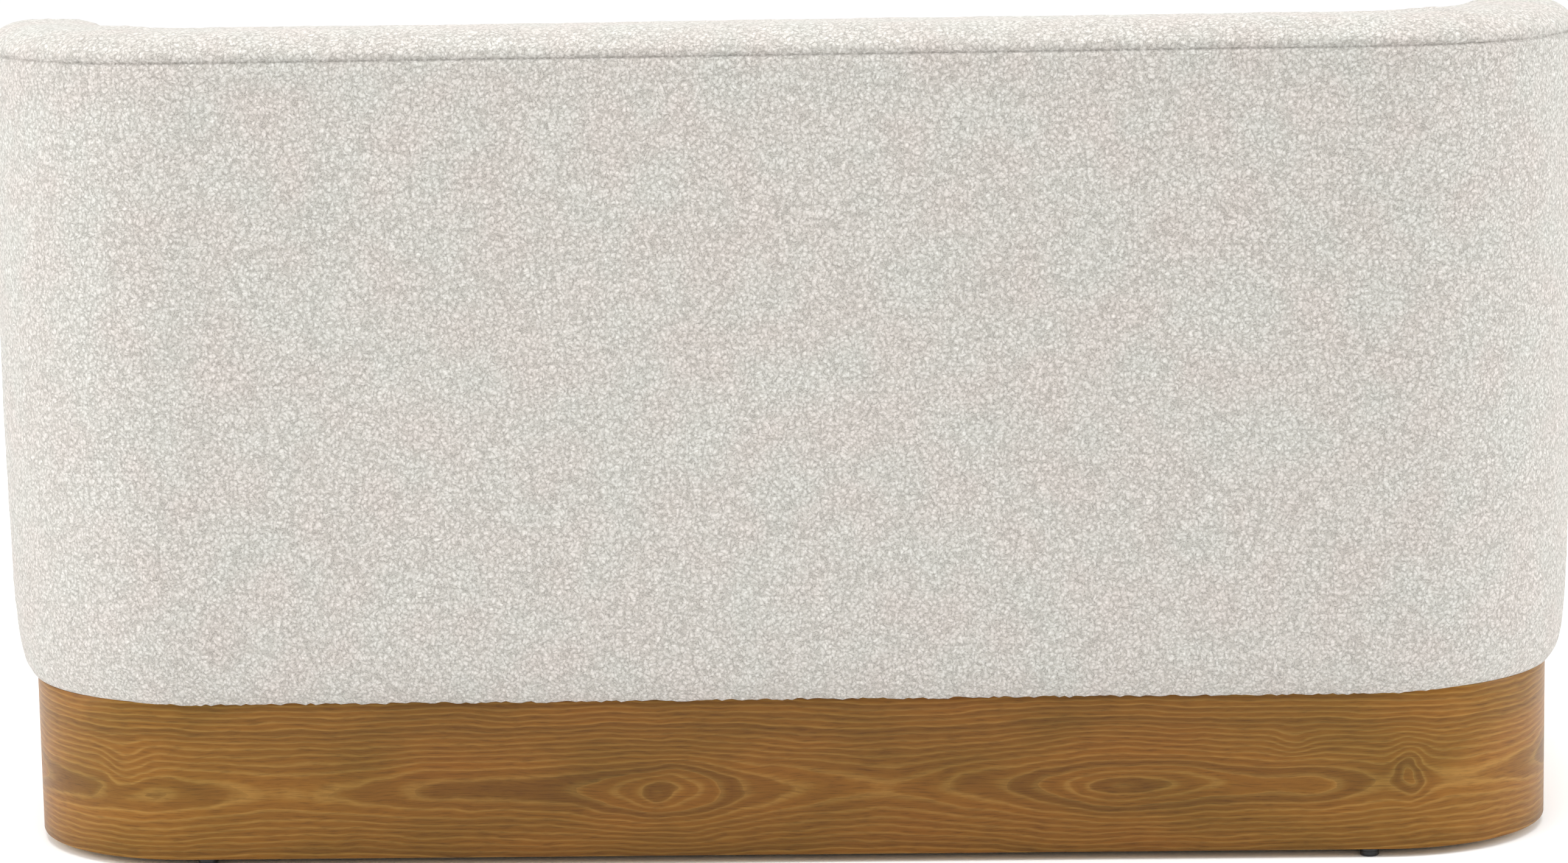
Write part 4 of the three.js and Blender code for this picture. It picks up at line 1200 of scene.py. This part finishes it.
def black_nylon():
    """Moulded black nylon, for the glides and the zip's coil: a fine grained skin with a dull shine."""
    material, tree = new_material("moulded_black_nylon", Roughness=0.42)
    place = add_node(tree, "TexCoord", out="Object")
    grit = add_node(tree, "TexNoise", {"Vector": place, "Scale": 1 / (0.9 * MM), "Detail": 2.0}, out="Fac")
    colour = add_node(tree, "ValToRGB", {"Fac": grit}, stops=[(0.3, "0E0E0F"), (0.7, "1A1A1B")])
    rough = add_node(tree, "MapRange", {"Value": grit, "To Min": 0.36, "To Max": 0.52})
    bump = add_node(tree, "Bump", {"Height": grit, "Strength": 0.2, "Distance": 0.15 * MM})
    link_surface(tree, Base_Color=colour, Roughness=rough, Normal=bump)
    return material


# The finish of the CAD nodes that still show. The first start of a name that fits counts.
CAD_FINISH = {
    "plinth_": "plywood", "base_board": "plywood", "outer_panel": "plywood", "back_top_rail": "plywood",
    "arm_top_rail": "plywood", "seat_spring": "steel", "body_screw": "steel", "seat_": "timber",
    "arm_post": "timber", "back_post": "timber", "deck_pad": "felt", "back_foam": "foam",
    "arm_foam": "foam", "top_foam": "foam", "front_rail_foam": "foam",
}


def finish_cad_nodes(finishes):
    """Gives each CAD node that still shows its own procedural material."""
    for name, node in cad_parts.items():
        if node.hide_render:
            continue
        kind = next(kind for start, kind in CAD_FINISH.items() if name.startswith(start))
        node.data.materials.clear()
        node.data.materials.append(finishes[kind])


# ---- Stage, lights and camera ----

def add_floor():
    """A wide plain white floor."""
    material = new_material("white_floor", Roughness=0.9, Base_Color=linear("FFFFFF"))[0]
    half = 30
    mesh = bpy.data.meshes.new("floor")
    mesh.from_pydata([(-half, -half, 0), (half, -half, 0), (half, half, 0), (-half, half, 0)], [],
                     [(0, 1, 2, 3)])
    mesh.materials.append(material)
    floor = bpy.data.objects.new("floor", mesh)
    bpy.context.scene.collection.objects.link(floor)


def add_lights():
    for name, place, target, width, height, watts in LIGHTS:
        lamp = bpy.data.lights.new(name, "AREA")
        lamp.shape = "RECTANGLE"
        lamp.size, lamp.size_y = width, height
        lamp.energy = watts
        holder = bpy.data.objects.new(name, lamp)
        holder.location = place
        towards = Vector(target) - Vector(place)
        holder.rotation_euler = towards.to_track_quat("-Z", "Y").to_euler()
        bpy.context.scene.collection.objects.link(holder)
    sun = bpy.data.lights.new("overhead", "SUN")
    sun.energy = SUN_STRENGTH
    sun.angle = math.radians(60)
    bpy.context.scene.collection.objects.link(bpy.data.objects.new("overhead", sun))
    world = bpy.data.worlds.new("white_room")
    world.use_nodes = True
    sky = world.node_tree.nodes["Background"]
    sky.inputs["Color"].default_value = linear("FFFFFF")
    sky.inputs["Strength"].default_value = SKY
    bpy.context.scene.world = world
    bpy.context.scene.view_settings.view_transform = "Standard"


def add_camera():
    camera = bpy.data.objects.new("camera", bpy.data.cameras.new("camera"))
    camera.data.lens = CAMERA["lens"]
    camera.data.sensor_width = 36
    turn = Matrix.Rotation(math.radians(CAMERA["turn"]), 4, "Z")
    tilt = Matrix.Rotation(math.radians(90 - CAMERA["tilt"]), 4, "X")
    roll = Matrix.Rotation(math.radians(CAMERA["roll"]), 4, "Z")
    camera.matrix_world = Matrix.Translation(CAMERA["place"]) @ turn @ tilt @ roll
    camera.data.clip_end = 200
    bpy.context.scene.collection.objects.link(camera)
    bpy.context.scene.camera = camera


# ---- The scene ----

add_camera()
add_lights()
add_floor()
boucle = boucle_cloth()
lining = black_lining()
steel = spring_steel()
nylon = black_nylon()
add_covers(boucle, lining)
add_seat_cushion(boucle)
add_zip(lining, nylon, steel)
add_veneer(ash_veneer())
add_glides(nylon)
finish_cad_nodes({
    "plywood": plywood(), "timber": timber(), "steel": steel, "foam": seat_foam(), "felt": felt_pad(),
})
